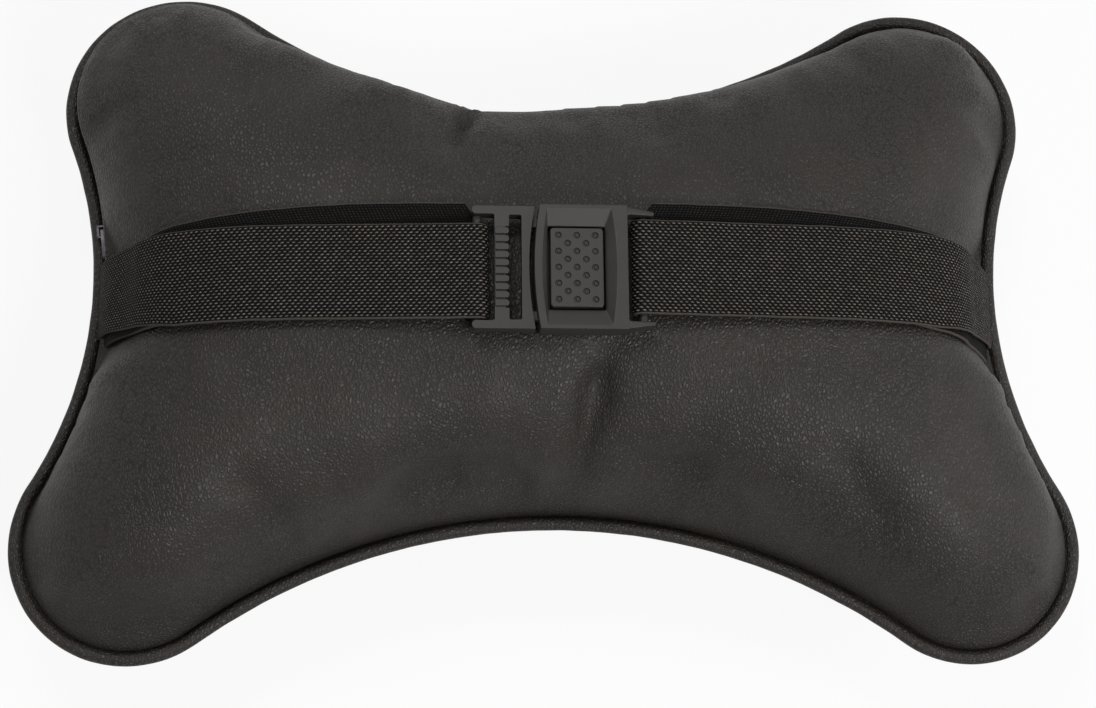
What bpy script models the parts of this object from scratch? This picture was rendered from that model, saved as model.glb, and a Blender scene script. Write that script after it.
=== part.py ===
"""Car neck pillow: stuffed leatherette cover with piping, elastic strap, centre-release buckle and zip.

The pillow lies strap side up. +X is its width, +Y its upper edge in use, +Z away from the head side.
Lengths are metres.
"""
import math

import bmesh
import bpy
import numpy as np
from mathutils import Matrix, Vector
from mathutils.bvhtree import BVHTree

# Outline of the cover, over the piping
WIDTH = 0.288
HEIGHT = 0.185
TOP_WIDTH = 0.267
TOP_LOBE_RADIUS = 0.0325
BOTTOM_LOBE_RADIUS = 0.0315
WAIST_RADIUS = 0.108
TOP_NOTCH_RADIUS = 0.150
BOTTOM_NOTCH_RADIUS = 0.162

# Stuffed body
SEAM_HEIGHT = 0.034
REAR_CROWN = 0.045
FRONT_CROWN = 0.037
FULLNESS = 0.44
PANEL_THICKNESS = 0.001
FILLING_MARGIN = 0.0015
STRAP_DIP = 0.003
STRAP_DIP_WIDTH = 0.020
FOLD_DEPTH = 0.0035
FOLD_WIDTH = 0.011
CLEARANCE = 0.0003

# Piping between the two panels
PIPING_DIAMETER = 0.0038
FLANGE_THICKNESS = 0.0008
FLANGE_REACH = 0.0018
PANEL_SETBACK = 0.0008
HEM_HEIGHT = 0.0018

# Elastic strap, folded double on each side
STRAP_WIDTH = 0.025
STRAP_THICKNESS = 0.0013
UNDER_PLY_WIDTH = 0.0265
UNDER_PLY_SKEW = 0.0030
STRAP_LINE_Y = 0.0034
STRAP_END_WIDTH = 0.0205
STRAP_END_RISE = 0.0012
STRAP_GATHER_REACH = 0.024

# Buckle
BUCKLE_Y = 0.0034
BUCKLE_WIDTH = 0.0321
BUCKLE_HEIGHT = 0.0074
BAR_DIAMETER = 0.0024
BAR_RISE = 0.0029
LEG_THICKNESS = 0.0021
LEG_HEIGHT = 0.0041
LEG_LIFT = 0.0002
TONGUE_BAR_X = -0.0228
LADDER_X = -0.0186
LADDER_WIDTH = 0.0037
SLOT_WIDTH = 0.0032
CURVED_BAR_WIDTH = 0.0034
PAD_COUNT = 10
PAD_PITCH = 0.0021
PAD_HEIGHT = 0.0004
PARTING = 0.0012
SOCKET_LENGTH = 0.0224
SOCKET_BOW = 0.0015
SOCKET_BAR_X = 0.0194
PRONG_LENGTH = 0.0070
PLATE_LENGTH = 0.0136
PLATE_WIDTH = 0.0208
PLATE_GAP = 0.0005
PLATE_STANDS = 0.0010
PLATE_TRAVEL = 0.0015
CAVITY_FLOOR = 0.0014
CAVITY_HEIGHT = 0.0030
LIP_THICKNESS = 0.0010
ARM_WIDTH = 0.0026
ARM_THICKNESS = 0.0022
ARM_REACH = 0.0150
ARM_ROOT = 0.0010
BARB_LENGTH = 0.0034
BARB_NOSE = 0.0022
BARB_STEP = 0.0008
EDGE_FILLET = 0.0004
FORM_OVERLAP = 0.0005
PAD_INSET = 0.0003
PRONG_TAPER = 0.0011
FORK_FILLET = 0.0010
WINDOW_WALL = 0.0009
WINDOW_LEFT = 0.0018
WINDOW_LEFT_BOW = 0.0014
WINDOW_RIGHT = 0.0040
WINDOW_RIGHT_BOW = 0.0012
WINDOW_BRIM = 0.0002
PLATE_INSET = 0.0026
PLATE_FLANGE = 0.0006
PLATE_CORNER = 0.0008
PIP_ROW_PITCH = 0.0021
PIP_COLUMN_PITCH = 0.0047
PIP_DIAMETER = 0.0011
PIP_HEIGHT = 0.0003

# Zip in the left seam
ZIP_START_Y = 0.0245
ZIP_LENGTH = 0.085
ZIP_OPENING = 0.0074
ZIP_FADE = 0.017
ZIP_STEP = 0.004
CHAIN_RISE = 0.0014
CHAIN_WIDTH = 0.0036
CHAIN_THICKNESS = 0.0015
TAPE_THICKNESS = 0.0005
SLIDER_LENGTH = 0.0062
SLIDER_PLATE = 0.0006
BRIDGE_HEIGHT = 0.0021
PULL_LENGTH = 0.0085
PULL_WIDTH = 0.0034
PULL_THICKNESS = 0.0008
PULL_BAR = 0.0007
PULL_EYE = 0.0020
TAPE_TAIL = 0.006
STOP_LENGTH = 0.0018

# Fineness of the faceted solids
COLUMNS = 18
ROWS = 12
STRAP_STEP = 0.005

LIP = FLANGE_THICKNESS / 2 + CLEARANCE
RIM_INSET = PIPING_DIAMETER + PANEL_SETBACK
CHAIN_LOW = LIP + CHAIN_RISE


def clear_scene():
    for item in list(bpy.data.objects):
        bpy.data.objects.remove(item)


def new_collection(name):
    made = bpy.data.collections.new(name)
    bpy.context.scene.collection.children.link(made)
    return made


def material(name, colour, roughness, metallic=0.0):
    made = bpy.data.materials.new(name)
    made.use_nodes = True
    shader = made.node_tree.nodes["Principled BSDF"]
    shader.inputs["Base Color"].default_value = (*colour, 1.0)
    shader.inputs["Roughness"].default_value = roughness
    shader.inputs["Metallic"].default_value = metallic
    return made


def add_object(name, data, collection, finish=None):
    made = bpy.data.objects.new(name, data)
    collection.objects.link(made)
    if finish is not None:
        data.materials.append(finish)
    return made


def mesh_object(name, points, faces, collection, finish=None):
    mesh = bpy.data.meshes.new(name)
    mesh.from_pydata([tuple(p) for p in points], [], faces)
    mesh.update()
    return add_object(name, mesh, collection, finish)


# Outline: four round lobes joined by four hollow arcs, each arc as centre, radius, start, end, sign
def outline_arcs():
    top_x = TOP_WIDTH / 2 - TOP_LOBE_RADIUS
    top_y = HEIGHT / 2 - TOP_LOBE_RADIUS
    bottom_x = WIDTH / 2 - BOTTOM_LOBE_RADIUS
    bottom_y = -HEIGHT / 2 + BOTTOM_LOBE_RADIUS
    top = Vector((top_x, top_y))
    bottom = Vector((bottom_x, bottom_y))

    reach_top = WAIST_RADIUS + TOP_LOBE_RADIUS
    reach_bottom = WAIST_RADIUS + BOTTOM_LOBE_RADIUS
    between = top - bottom
    along = (reach_bottom ** 2 - reach_top ** 2 + between.length ** 2) / (2 * between.length)
    across = math.sqrt(reach_bottom ** 2 - along ** 2)
    unit = between.normalized()
    waist = bottom + unit * along + Vector((unit.y, -unit.x)) * across
    rise_top = math.sqrt((TOP_NOTCH_RADIUS + TOP_LOBE_RADIUS) ** 2 - top_x ** 2)
    rise_bottom = math.sqrt((BOTTOM_NOTCH_RADIUS + BOTTOM_LOBE_RADIUS) ** 2 - bottom_x ** 2)
    top_notch = Vector((0.0, top_y + rise_top))
    bottom_notch = Vector((0.0, bottom_y - rise_bottom))

    def heading(start, end):
        return math.atan2(end.y - start.y, end.x - start.x)

    def mirrored(arc):
        centre, radius, start, end, sign = arc
        return (Vector((-centre.x, centre.y)), radius, math.pi - end, math.pi - start, sign)

    bottom_start = heading(bottom, bottom_notch)
    bottom_end = heading(bottom, waist)
    bottom_mid = (bottom_start + bottom_end) / 2
    top_start = heading(top, waist)
    top_end = heading(top, top_notch)
    top_mid = (top_start + top_end) / 2
    notch_half = heading(bottom_notch, bottom)
    waist_start = heading(waist, bottom) % (2 * math.pi)
    waist_end = heading(waist, top) % (2 * math.pi)
    top_notch_start = heading(top_notch, top)

    lobe_a = (bottom, BOTTOM_LOBE_RADIUS, bottom_start, bottom_mid, 1)
    lobe_b = (bottom, BOTTOM_LOBE_RADIUS, bottom_mid, bottom_end, 1)
    lobe_c = (top, TOP_LOBE_RADIUS, top_start, top_mid, 1)
    lobe_d = (top, TOP_LOBE_RADIUS, top_mid, top_end, 1)
    side = (waist, WAIST_RADIUS, waist_start, waist_end, -1)
    return {
        "bottom": [mirrored(lobe_a),
                   (bottom_notch, BOTTOM_NOTCH_RADIUS, math.pi - notch_half, notch_half, -1), lobe_a],
        "right": [lobe_b, side, lobe_c],
        "top": [lobe_d,
                (top_notch, TOP_NOTCH_RADIUS, top_notch_start, -math.pi - top_notch_start, -1),
                mirrored(lobe_d)],
        "left": [mirrored(lobe_c), mirrored(side), mirrored(lobe_b)],
    }


def arc_length(arc, inset):
    centre, radius, start, end, sign = arc
    return abs(end - start) * (radius - sign * inset)


def arc_point(arc, share, inset):
    centre, radius, start, end, sign = arc
    angle = start + (end - start) * share
    reach = radius - sign * inset
    return Vector((centre.x + reach * math.cos(angle), centre.y + reach * math.sin(angle)))


def side_points(arcs, count, inset):
    lengths = [arc_length(arc, inset) for arc in arcs]
    total = sum(lengths)
    points = []
    for k in range(count + 1):
        left = total * k / count
        for arc, length in zip(arcs, lengths):
            if left <= length or arc is arcs[-1]:
                points.append(arc_point(arc, min(left / length, 1.0), inset))
                break
            left -= length
    return points


def whole_outline(inset, lobe_steps, waist_steps, notch_steps):
    """Closed run of points with a step count for each kind of arc."""
    points = []
    for name, arcs in outline_arcs().items():
        hollow_steps = waist_steps if name in ("left", "right") else notch_steps
        for arc in arcs:
            steps = lobe_steps if arc[4] == 1 else hollow_steps
            points += [arc_point(arc, k / steps, inset) for k in range(steps)]
    return points


def quad_grid(inset, columns, rows):
    """A patch of points spread between the four sides of the outline."""
    arcs = outline_arcs()
    low = side_points(arcs["bottom"], columns, inset)
    right = side_points(arcs["right"], rows, inset)
    high = side_points(arcs["top"], columns, inset)[::-1]
    left = side_points(arcs["left"], rows, inset)[::-1]
    grid = np.zeros((columns + 1, rows + 1, 2))
    for i in range(columns + 1):
        u = i / columns
        for j in range(rows + 1):
            v = j / rows
            edges = low[i] * (1 - v) + high[i] * v + left[j] * (1 - u) + right[j] * u
            corners = (low[0] * (1 - u) * (1 - v) + low[-1] * u * (1 - v)
                       + high[0] * (1 - u) * v + high[-1] * u * v)
            grid[i, j] = edges - corners
    return grid


def inflated(grid):
    """Share of the crown height at each grid point: the shape of a sheet held at its edge and blown up."""
    columns, rows = grid.shape[0] - 1, grid.shape[1] - 1
    index = {}
    for i in range(1, columns):
        for j in range(1, rows):
            index[i, j] = len(index)
    matrix = np.zeros((len(index), len(index)))
    load = np.zeros(len(index))
    for (i, j), row in index.items():
        span_i = (grid[i + 1, j] - grid[i - 1, j]) / 2
        span_j = (grid[i, j + 1] - grid[i, j - 1]) / 2
        load[row] = abs(span_i[0] * span_j[1] - span_i[1] * span_j[0])
        for di, dj, across in ((1, 0, span_j), (-1, 0, span_j), (0, 1, span_i), (0, -1, span_i)):
            step = np.linalg.norm(grid[i + di, j + dj] - grid[i, j])
            weight = np.linalg.norm(across) / step
            matrix[row, row] += weight
            if (i + di, j + dj) in index:
                matrix[row, index[i + di, j + dj]] -= weight
    level = np.linalg.solve(matrix, load)
    share = np.zeros((columns + 1, rows + 1))
    for (i, j), row in index.items():
        share[i, j] = (level[row] / level.max()) ** FULLNESS
    return share


# Folds on the strap side, each as start and end in shares of half the width and half the height
FOLDS = [
    ((0.02, -0.22), (-0.04, -0.62), 1.0),
    ((-0.20, -0.40), (-0.30, -0.58), 0.8),
    ((0.25, -0.38), (0.33, -0.56), 0.7),
    ((-0.22, 0.50), (-0.24, 0.80), 0.6),
]


def fold_dip(x, y):
    dip = 0.0
    for start, end, strength in FOLDS:
        a = Vector((start[0] * WIDTH / 2, start[1] * HEIGHT / 2))
        b = Vector((end[0] * WIDTH / 2, end[1] * HEIGHT / 2))
        run = b - a
        share = min(max((Vector((x, y)) - a).dot(run) / run.length_squared, 0.0), 1.0)
        away = (Vector((x, y)) - a - run * share).length
        dip += FOLD_DEPTH * strength * math.exp(-(away / FOLD_WIDTH) ** 2)
    return dip


def rear_height(x, y, share):
    strap = STRAP_DIP * math.exp(-((y - STRAP_LINE_Y) / STRAP_DIP_WIDTH) ** 2)
    return SEAM_HEIGHT + LIP + REAR_CROWN * share - (strap + fold_dip(x, y)) * share


def front_height(x, y, share):
    return max(SEAM_HEIGHT - LIP - FRONT_CROWN * share, 0.0)


def zip_rise(x, y):
    """How far the rear panel's edge stands up to leave room for the zip."""
    run = left_seam_run(RIM_INSET, ZIP_START_Y, ZIP_LENGTH, ZIP_STEP)
    away = min((point - Vector((x, y))).length for point in run)
    return ZIP_OPENING * min(max(2 - away / ZIP_FADE, 0.0), 1.0)


def cage_points(grid, share, height, edge_rise=None):
    columns, rows = grid.shape[0] - 1, grid.shape[1] - 1
    points = []
    for i in range(columns + 1):
        for j in range(rows + 1):
            x, y = grid[i, j]
            z = height(x, y, share[i, j])
            if edge_rise and (i in (0, columns) or j in (0, rows)):
                z += edge_rise(x, y)
            points.append((x, y, z))
    return points


def cage_faces(columns, rows, flip):
    faces = []
    for i in range(columns):
        for j in range(rows):
            a = i * (rows + 1) + j
            face = (a, a + rows + 1, a + rows + 2, a + 1)
            faces.append(face[::-1] if flip else face)
    return faces


def add_subdivision(target, levels):
    smooth = target.modifiers.new("rounding", "SUBSURF")
    smooth.levels = levels
    smooth.render_levels = levels


def edge_loop(columns, rows):
    """Numbers of the grid's edge points, once round, starting at the lower left."""
    step = rows + 1
    low = [i * step for i in range(columns)]
    right = [columns * step + j for j in range(rows)]
    high = [i * step + rows for i in range(columns, 0, -1)]
    left = [j for j in range(rows, 0, -1)]
    return low + right + high + left


def build_panel(name, height, flip, collection, finish, edge_rise=None):
    """Cover panel: a stuffed sheet with an upright hem at the seam and its thickness inwards."""
    grid = quad_grid(RIM_INSET, COLUMNS, ROWS)
    points = cage_points(grid, inflated(grid), height, edge_rise)
    faces = cage_faces(COLUMNS, ROWS, flip)
    loop = edge_loop(COLUMNS, ROWS)
    hem = HEM_HEIGHT if not flip else -HEM_HEIGHT
    first = len(points)
    for number in loop:
        x, y, z = points[number]
        points.append((x, y, z))
        points[number] = (x, y, z + hem)
    for k, number in enumerate(loop):
        after = (k + 1) % len(loop)
        face = (first + k, first + after, loop[after], number)
        faces.append(face[::-1] if flip else face)
    panel = mesh_object(name, points, faces, collection, finish)
    panel.data.shade_smooth()
    add_subdivision(panel, 1)
    wall = panel.modifiers.new("leatherette", "SOLIDIFY")
    wall.thickness = PANEL_THICKNESS
    wall.offset = -1
    wall.use_even_offset = True
    return panel


def build_filling(collection, finish):
    """Fibre filling in its liner: the space between the panels, drawn in by a margin."""
    grid = quad_grid(RIM_INSET, COLUMNS, ROWS)
    share = inflated(grid)

    def rear(x, y, s):
        return rear_height(x, y, s) - LIP * (1 - min(s * 8, 1))

    def front(x, y, s):
        return front_height(x, y, s) + LIP * (1 - min(s * 8, 1))

    high = cage_points(grid, share, rear)
    low = cage_points(grid, share, front)
    shift = len(high)
    faces = cage_faces(COLUMNS, ROWS, False)
    faces += [tuple(k + shift for k in face) for face in cage_faces(COLUMNS, ROWS, True)]
    filling = mesh_object("inner_pillow", high + low, faces, collection, finish)
    shape = bmesh.new()
    shape.from_mesh(filling.data)
    bmesh.ops.remove_doubles(shape, verts=shape.verts, dist=CLEARANCE / 3)
    shape.to_mesh(filling.data)
    add_subdivision(filling, 1)
    bpy.context.view_layer.update()
    rounded_mesh = filling.evaluated_get(bpy.context.evaluated_depsgraph_get()).data
    shape.verts.ensure_lookup_table()
    for vert in shape.verts:
        vert.co = rounded_mesh.vertices[vert.index].co
    filling.modifiers.clear()
    shape.normal_update()
    for vert in shape.verts:
        vert.co -= vert.normal * FILLING_MARGIN
    shape.to_mesh(filling.data)
    shape.free()
    filling.data.shade_smooth()
    return filling


def curve_from(name, points, cyclic, collection, level=0.0):
    data = bpy.data.curves.new(name, "CURVE")
    data.dimensions = "3D"
    data.twist_mode = "Z_UP"
    spline = data.splines.new("POLY")
    spline.points.add(len(points) - 1)
    for target, point in zip(spline.points, points):
        z = point[2] if len(point) > 2 else level
        target.co = (point[0], point[1], z, 1.0)
    spline.use_cyclic_u = cyclic
    return add_object(name, data, collection)


def swept(name, points, cyclic, profile, collection, guides, finish, level):
    """Solid of one section along a level run, the section given as outward and upward offsets."""
    section = bpy.data.curves.new(name + "_section", "CURVE")
    section.dimensions = "2D"
    spline = section.splines.new("POLY")
    spline.points.add(len(profile) - 1)
    for target, (out, up) in zip(spline.points, profile):
        target.co = (out, up, 0.0, 1.0)
    spline.use_cyclic_u = True
    guide = add_object(name + "_section", section, guides)
    guide.hide_render = True
    guide.display_type = "WIRE"
    run = curve_from(name, points, cyclic, collection, level)
    run.data.bevel_mode = "OBJECT"
    run.data.bevel_object = guide
    run.data.use_fill_caps = not cyclic
    run.data.materials.append(finish)
    return run


def build_piping(collection, guides, finish):
    """Covered cord with its sewn flange, all round between the panels."""
    radius = PIPING_DIAMETER / 2
    half = FLANGE_THICKNESS / 2
    start = math.asin(half / radius)
    steps = 9
    profile = []
    for k in range(steps + 1):
        angle = math.pi - start - (2 * math.pi - 2 * start) * k / steps
        profile.append((radius * math.cos(angle), radius * math.sin(angle)))
    inner = -(radius + FLANGE_REACH)
    profile += [(inner, -half), (inner, half)]
    run = whole_outline(radius, 6, 8, 12)
    return swept("piping", run, True, profile, collection, guides, finish, SEAM_HEIGHT)


def crown_line(tree, sign, low_y, high_y):
    """Upper outline of the stuffed panel under a strap, seen from its edge: reach and height pairs."""
    samples = [low_y + (high_y - low_y) * k / 6 for k in range(7)]
    hub = WIDTH / 2 - RIM_INSET - REAR_CROWN
    line = []
    for k in range(25):
        angle = math.radians(3 + 87 * k / 24)
        heading = Vector((sign * math.cos(angle), 0.0, math.sin(angle)))
        reach = 0.0
        for y in samples:
            centre = Vector((sign * hub, y, SEAM_HEIGHT + LIP))
            hit = tree.ray_cast(centre + heading * WIDTH, -heading)[0]
            if hit is not None:
                reach = max(reach, (hit - centre).length)
        if reach > 0:
            line.append((hub + reach * math.cos(angle), SEAM_HEIGHT + LIP + reach * math.sin(angle)))
    steps = 16
    for k in range(1, steps + 1):
        x = hub * (1 - k / steps)
        top = 0.0
        for y in samples:
            hit = tree.ray_cast(Vector((sign * x, y, WIDTH)), Vector((0, 0, -1)))[0]
            if hit is not None:
                top = max(top, hit.z)
        line.append((x, top))
    return line


def taut(line):
    """The stretched path over a run of points, from the outer edge inwards."""
    path = []
    for point in line:
        while len(path) > 1:
            (ax, az), (bx, bz) = path[-2], path[-1]
            turn = (bx - ax) * (point[1] - az) - (bz - az) * (point[0] - ax)
            if turn > 0:
                break
            path.pop()
        path.append(point)
    return path


def offset_line(path, distance):
    moved = []
    for k, (x, z) in enumerate(path):
        before = path[max(k - 1, 0)]
        after = path[min(k + 1, len(path) - 1)]
        run = Vector((after[0] - before[0], after[1] - before[1])).normalized()
        moved.append((x + run.y * distance, z - run.x * distance))
    return moved


def even_steps(path, step):
    lengths = [math.dist(a, b) for a, b in zip(path, path[1:])]
    total = sum(lengths)
    count = max(int(round(total / step)), 2)
    points = []
    for k in range(count + 1):
        left = total * k / count
        for (a, b), length in zip(zip(path, path[1:]), lengths):
            if left <= length or b is path[-1]:
                share = min(left / length, 1.0)
                points.append((a[0] + (b[0] - a[0]) * share, a[1] + (b[1] - a[1]) * share))
                break
            left -= length
    return points


def ply_run(tree, sign, bar_reach, bar_level, layer):
    """One ply of a strap, from the seam to its turn at the buckle's bar."""
    wide = max(STRAP_WIDTH / 2, UNDER_PLY_WIDTH / 2 + UNDER_PLY_SKEW)
    line = taut(crown_line(tree, sign, STRAP_LINE_Y - wide, STRAP_LINE_Y + wide))
    away = CLEARANCE + STRAP_THICKNESS / 2 + layer * (CLEARANCE + STRAP_THICKNESS)
    path = offset_line(line, away)
    turn = BAR_DIAMETER / 2 + CLEARANCE + STRAP_THICKNESS / 2
    floor = SEAM_HEIGHT + PIPING_DIAMETER / 2 + CLEARANCE
    kept = [p for p in path if p[0] > bar_reach and p[1] > floor]
    kept.insert(0, (kept[0][0], floor))
    end = (bar_reach, bar_level + (turn if layer else -turn))
    if layer:
        return even_steps(taut(kept + [end]), STRAP_STEP)
    return even_steps(kept + [end], STRAP_STEP)


def build_strap(name, sign, bar_reach, bar_level, tree, collection, finish):
    """Elastic strap folded round the bar of its buckle half, both ends in the side seam."""
    under = ply_run(tree, sign, bar_reach, bar_level, 0)
    upper = ply_run(tree, sign, bar_reach, bar_level, 1)
    turn = BAR_DIAMETER / 2 + CLEARANCE + STRAP_THICKNESS / 2
    bend = []
    for k in range(1, 6):
        angle = -math.pi / 2 - math.pi * k / 6
        bend.append((bar_reach + turn * math.cos(angle), bar_level + turn * math.sin(angle)))
    run = under + bend + upper[::-1]
    reach = WIDTH / 2
    points = []
    for k, (x, z) in enumerate(run):
        lower_ply = k < len(under)
        ramp = min(max((x - bar_reach) / (reach - bar_reach), 0.0), 1.0) if lower_ply else 0.0
        near = min(max((x - bar_reach) / (STRAP_WIDTH / 2), 0.0), 1.0) if lower_ply else 0.0
        skew = UNDER_PLY_SKEW * (near - 2 * ramp * ramp) if lower_ply else 0.0
        width = STRAP_WIDTH + (UNDER_PLY_WIDTH - STRAP_WIDTH) * near
        gather = min(max(1 - (run[0][0] - x) / STRAP_GATHER_REACH, 0.0), 1.0)
        width += (STRAP_END_WIDTH - STRAP_WIDTH) * gather
        middle = STRAP_LINE_Y + skew + STRAP_END_RISE * gather
        for across in (-0.5, 0.5):
            points.append((sign * x, middle + across * width, z))
    faces = []
    for k in range(len(run) - 1):
        face = (2 * k, 2 * k + 2, 2 * k + 3, 2 * k + 1)
        faces.append(face if sign > 0 else face[::-1])
    strap = mesh_object(name, points, faces, collection, finish)
    strap.data.shade_smooth()
    wall = strap.modifiers.new("webbing", "SOLIDIFY")
    wall.thickness = STRAP_THICKNESS
    wall.offset = 0
    wall.use_even_offset = True
    return strap


def rounded(corners, steps=3):
    """Closed outline from corners given as x, y and fillet radius."""
    points = []
    count = len(corners)
    for k, (x, y, radius) in enumerate(corners):
        here = Vector((x, y))
        if radius <= 0:
            points.append(here)
            continue
        before = (Vector(corners[k - 1][:2]) - here).normalized()
        after = (Vector(corners[(k + 1) % count][:2]) - here).normalized()
        half = before.angle(after) / 2
        cut = radius / math.tan(half)
        start, end = here + before * cut, here + after * cut
        centre = here + (before + after).normalized() * (radius / math.sin(half))
        first = start - centre
        swing = first.angle_signed(end - centre)
        for step in range(steps + 1):
            turned = first.copy()
            turned.rotate(Matrix.Rotation(-swing * step / steps, 2))
            points.append(centre + turned)
    return points


def plate_from(name, outlines, low, high, collection, finish=None):
    """Flat piece: 2D outlines, the first outside and the rest holes, between two heights."""
    data = bpy.data.curves.new(name, "CURVE")
    data.dimensions = "2D"
    data.fill_mode = "BOTH"
    data.extrude = (high - low) / 2
    for outline in outlines:
        spline = data.splines.new("POLY")
        spline.points.add(len(outline) - 1)
        for target, point in zip(spline.points, outline):
            target.co = (point[0], point[1], 0.0, 1.0)
        spline.use_cyclic_u = True
    made = add_object(name, data, collection, finish)
    made.location.z = (low + high) / 2
    return made


def as_mesh(item, collection, finish=None):
    """The evaluated shape of an object as a closed mesh in world places."""
    bpy.context.view_layer.update()
    shape = bpy.data.meshes.new_from_object(item.evaluated_get(bpy.context.evaluated_depsgraph_get()))
    shape.transform(item.matrix_world)
    welded = bmesh.new()
    welded.from_mesh(shape)
    bmesh.ops.remove_doubles(welded, verts=welded.verts, dist=1e-6)
    bmesh.ops.recalc_face_normals(welded, faces=welded.faces)
    welded.to_mesh(shape)
    welded.free()
    name = item.name
    bpy.data.objects.remove(item)
    if finish is not None:
        shape.materials.clear()
    return add_object(name, shape, collection, finish)


def block(name, low, high, collection):
    size = [b - a for a, b in zip(low, high)]
    middle = [(a + b) / 2 for a, b in zip(low, high)]
    bpy.ops.mesh.primitive_cube_add(size=1, location=middle)
    made = bpy.context.object
    made.name = name
    made.scale = size
    return as_mesh(relinked(made, collection), collection)


def rod(name, radius, start, end, collection, sides=12):
    run = Vector(end) - Vector(start)
    bpy.ops.mesh.primitive_cylinder_add(vertices=sides, radius=radius, depth=run.length,
                                        location=(Vector(start) + Vector(end)) / 2)
    made = bpy.context.object
    made.name = name
    made.rotation_mode = "QUATERNION"
    made.rotation_quaternion = run.to_track_quat("Z", "Y")
    return as_mesh(relinked(made, collection), collection)


def relinked(item, collection):
    for home in list(item.users_collection):
        home.objects.unlink(item)
    collection.objects.link(item)
    return item


def combine(base, others, operation):
    for other in others:
        tool = base.modifiers.new(operation.lower(), "BOOLEAN")
        tool.operation = operation
        tool.solver = "EXACT"
        tool.object = other
        other.hide_render = True
        other.display_type = "WIRE"


def prong_tip():
    """Last x of the socket's side prongs."""
    socket_start = LADDER_X + LADDER_WIDTH + SLOT_WIDTH + CURVED_BAR_WIDTH + PARTING
    return socket_start + SOCKET_LENGTH + PRONG_LENGTH


def buckle_base(tree):
    """Height that the buckle rests at: on the highest point of the panel under it."""
    highest = 0.0
    for i in range(9):
        for j in range(9):
            x = TONGUE_BAR_X + (prong_tip() - TONGUE_BAR_X) * i / 8
            y = BUCKLE_Y + BUCKLE_WIDTH * (j / 8 - 0.5)
            hit = tree.ray_cast(Vector((x, y, WIDTH)), Vector((0, 0, -1)))[0]
            if hit is not None:
                highest = max(highest, hit.z)
    return highest + CLEARANCE


def bowed_edge(x, half):
    """The parting line between the buckle halves, bowed to the left in its middle."""
    shares = [k / 3 - 1 for k in range(7)]
    return [(x - SOCKET_BOW * (1 - share ** 2), share * half, 0) for share in shares]


def strap_bar(name, x, level, cutters):
    """Round bar across a buckle half, let into both of its legs."""
    reach = BUCKLE_WIDTH / 2 - LEG_THICKNESS + FORM_OVERLAP
    return rod(name, BAR_DIAMETER / 2, (x, BUCKLE_Y - reach, level), (x, BUCKLE_Y + reach, level), cutters)


def build_tongue(base, collection, cutters, finish):
    """Left half of the buckle: legs, strap bar, ladder bar, slot, curved bar and two snap arms."""
    half = BUCKLE_WIDTH / 2
    inner = half - LEG_THICKNESS
    left = TONGUE_BAR_X - BAR_DIAMETER / 2 - CLEARANCE
    slot = LADDER_X + LADDER_WIDTH
    curved = slot + SLOT_WIDTH
    right = curved + CURVED_BAR_WIDTH
    leg_low = base + BAR_RISE - BAR_DIAMETER / 2 + LEG_LIFT
    leg_high = leg_low + LEG_HEIGHT
    round_end = LEG_THICKNESS * 0.45
    outer = rounded([(left, -half, round_end), *bowed_edge(right, half), (left, half, round_end),
                     (left, inner, round_end), (LADDER_X, inner, EDGE_FILLET),
                     (LADDER_X, -inner, EDGE_FILLET), (left, -inner, round_end)])
    slot_end = inner - WINDOW_BRIM
    hole = rounded([(slot, -slot_end, EDGE_FILLET), (curved, -slot_end, EDGE_FILLET),
                    (curved, slot_end, EDGE_FILLET), (slot, slot_end, EDGE_FILLET)])
    frame = plate_from("buckle_tongue", [outer, hole], leg_low, leg_high, collection)
    frame.location.y = BUCKLE_Y
    tongue = as_mesh(frame, collection, finish)
    pieces = [strap_bar("tongue_bar_form", TONGUE_BAR_X, base + BAR_RISE, cutters)]
    low_x, high_x = LADDER_X + PAD_INSET, slot - PAD_INSET
    reach = PAD_PITCH * 0.4
    nose = reach * 0.9
    for k in range(PAD_COUNT):
        y = BUCKLE_Y + (k - (PAD_COUNT - 1) / 2) * PAD_PITCH
        outline = rounded([(low_x, y - reach, 0), (high_x, y - reach, nose),
                           (high_x, y + reach, nose), (low_x, y + reach, 0)], 2)
        pad = plate_from("pad_form_%d" % k, [outline], leg_high - PAD_HEIGHT, leg_high + PAD_HEIGHT,
                         cutters)
        pieces.append(as_mesh(pad, cutters))
    arm_low = base + CAVITY_FLOOR + CLEARANCE
    inner_y = PLATE_WIDTH / 2 + PLATE_GAP
    outer_y = inner_y + ARM_WIDTH
    root, tip = curved + ARM_ROOT, right + ARM_REACH
    for sign in (-1, 1):
        barb_y = outer_y + BARB_STEP
        outline = [(root, sign * inner_y), (tip, sign * inner_y), (tip, sign * (inner_y + ARM_WIDTH / 2)),
                   (tip - BARB_NOSE, sign * barb_y), (tip - BARB_LENGTH, sign * barb_y),
                   (tip - BARB_LENGTH, sign * outer_y), (root, sign * outer_y)]
        arm = plate_from("arm_form_%d" % sign, [outline], arm_low, arm_low + ARM_THICKNESS, cutters)
        arm.location.y = BUCKLE_Y
        pieces.append(as_mesh(arm, cutters))
    combine(tongue, pieces, "UNION")
    return as_mesh(tongue, collection, finish)


def loft(name, rings, collection):
    """Closed solid through rings of equal point counts."""
    count = len(rings[0])
    points = [p for ring in rings for p in ring]
    faces = [tuple(range(count))[::-1]]
    for r in range(len(rings) - 1):
        for k in range(count):
            a, b = r * count + k, r * count + (k + 1) % count
            faces.append((a, b, b + count, a + count))
    faces.append(tuple(range((len(rings) - 1) * count, len(rings) * count)))
    return as_mesh(mesh_object(name, points, faces, collection), collection)


def plate_span():
    """First and last x of the press plate."""
    right = LADDER_X + LADDER_WIDTH + SLOT_WIDTH + CURVED_BAR_WIDTH
    start = right + PARTING + PLATE_INSET
    return start, start + PLATE_LENGTH


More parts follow.
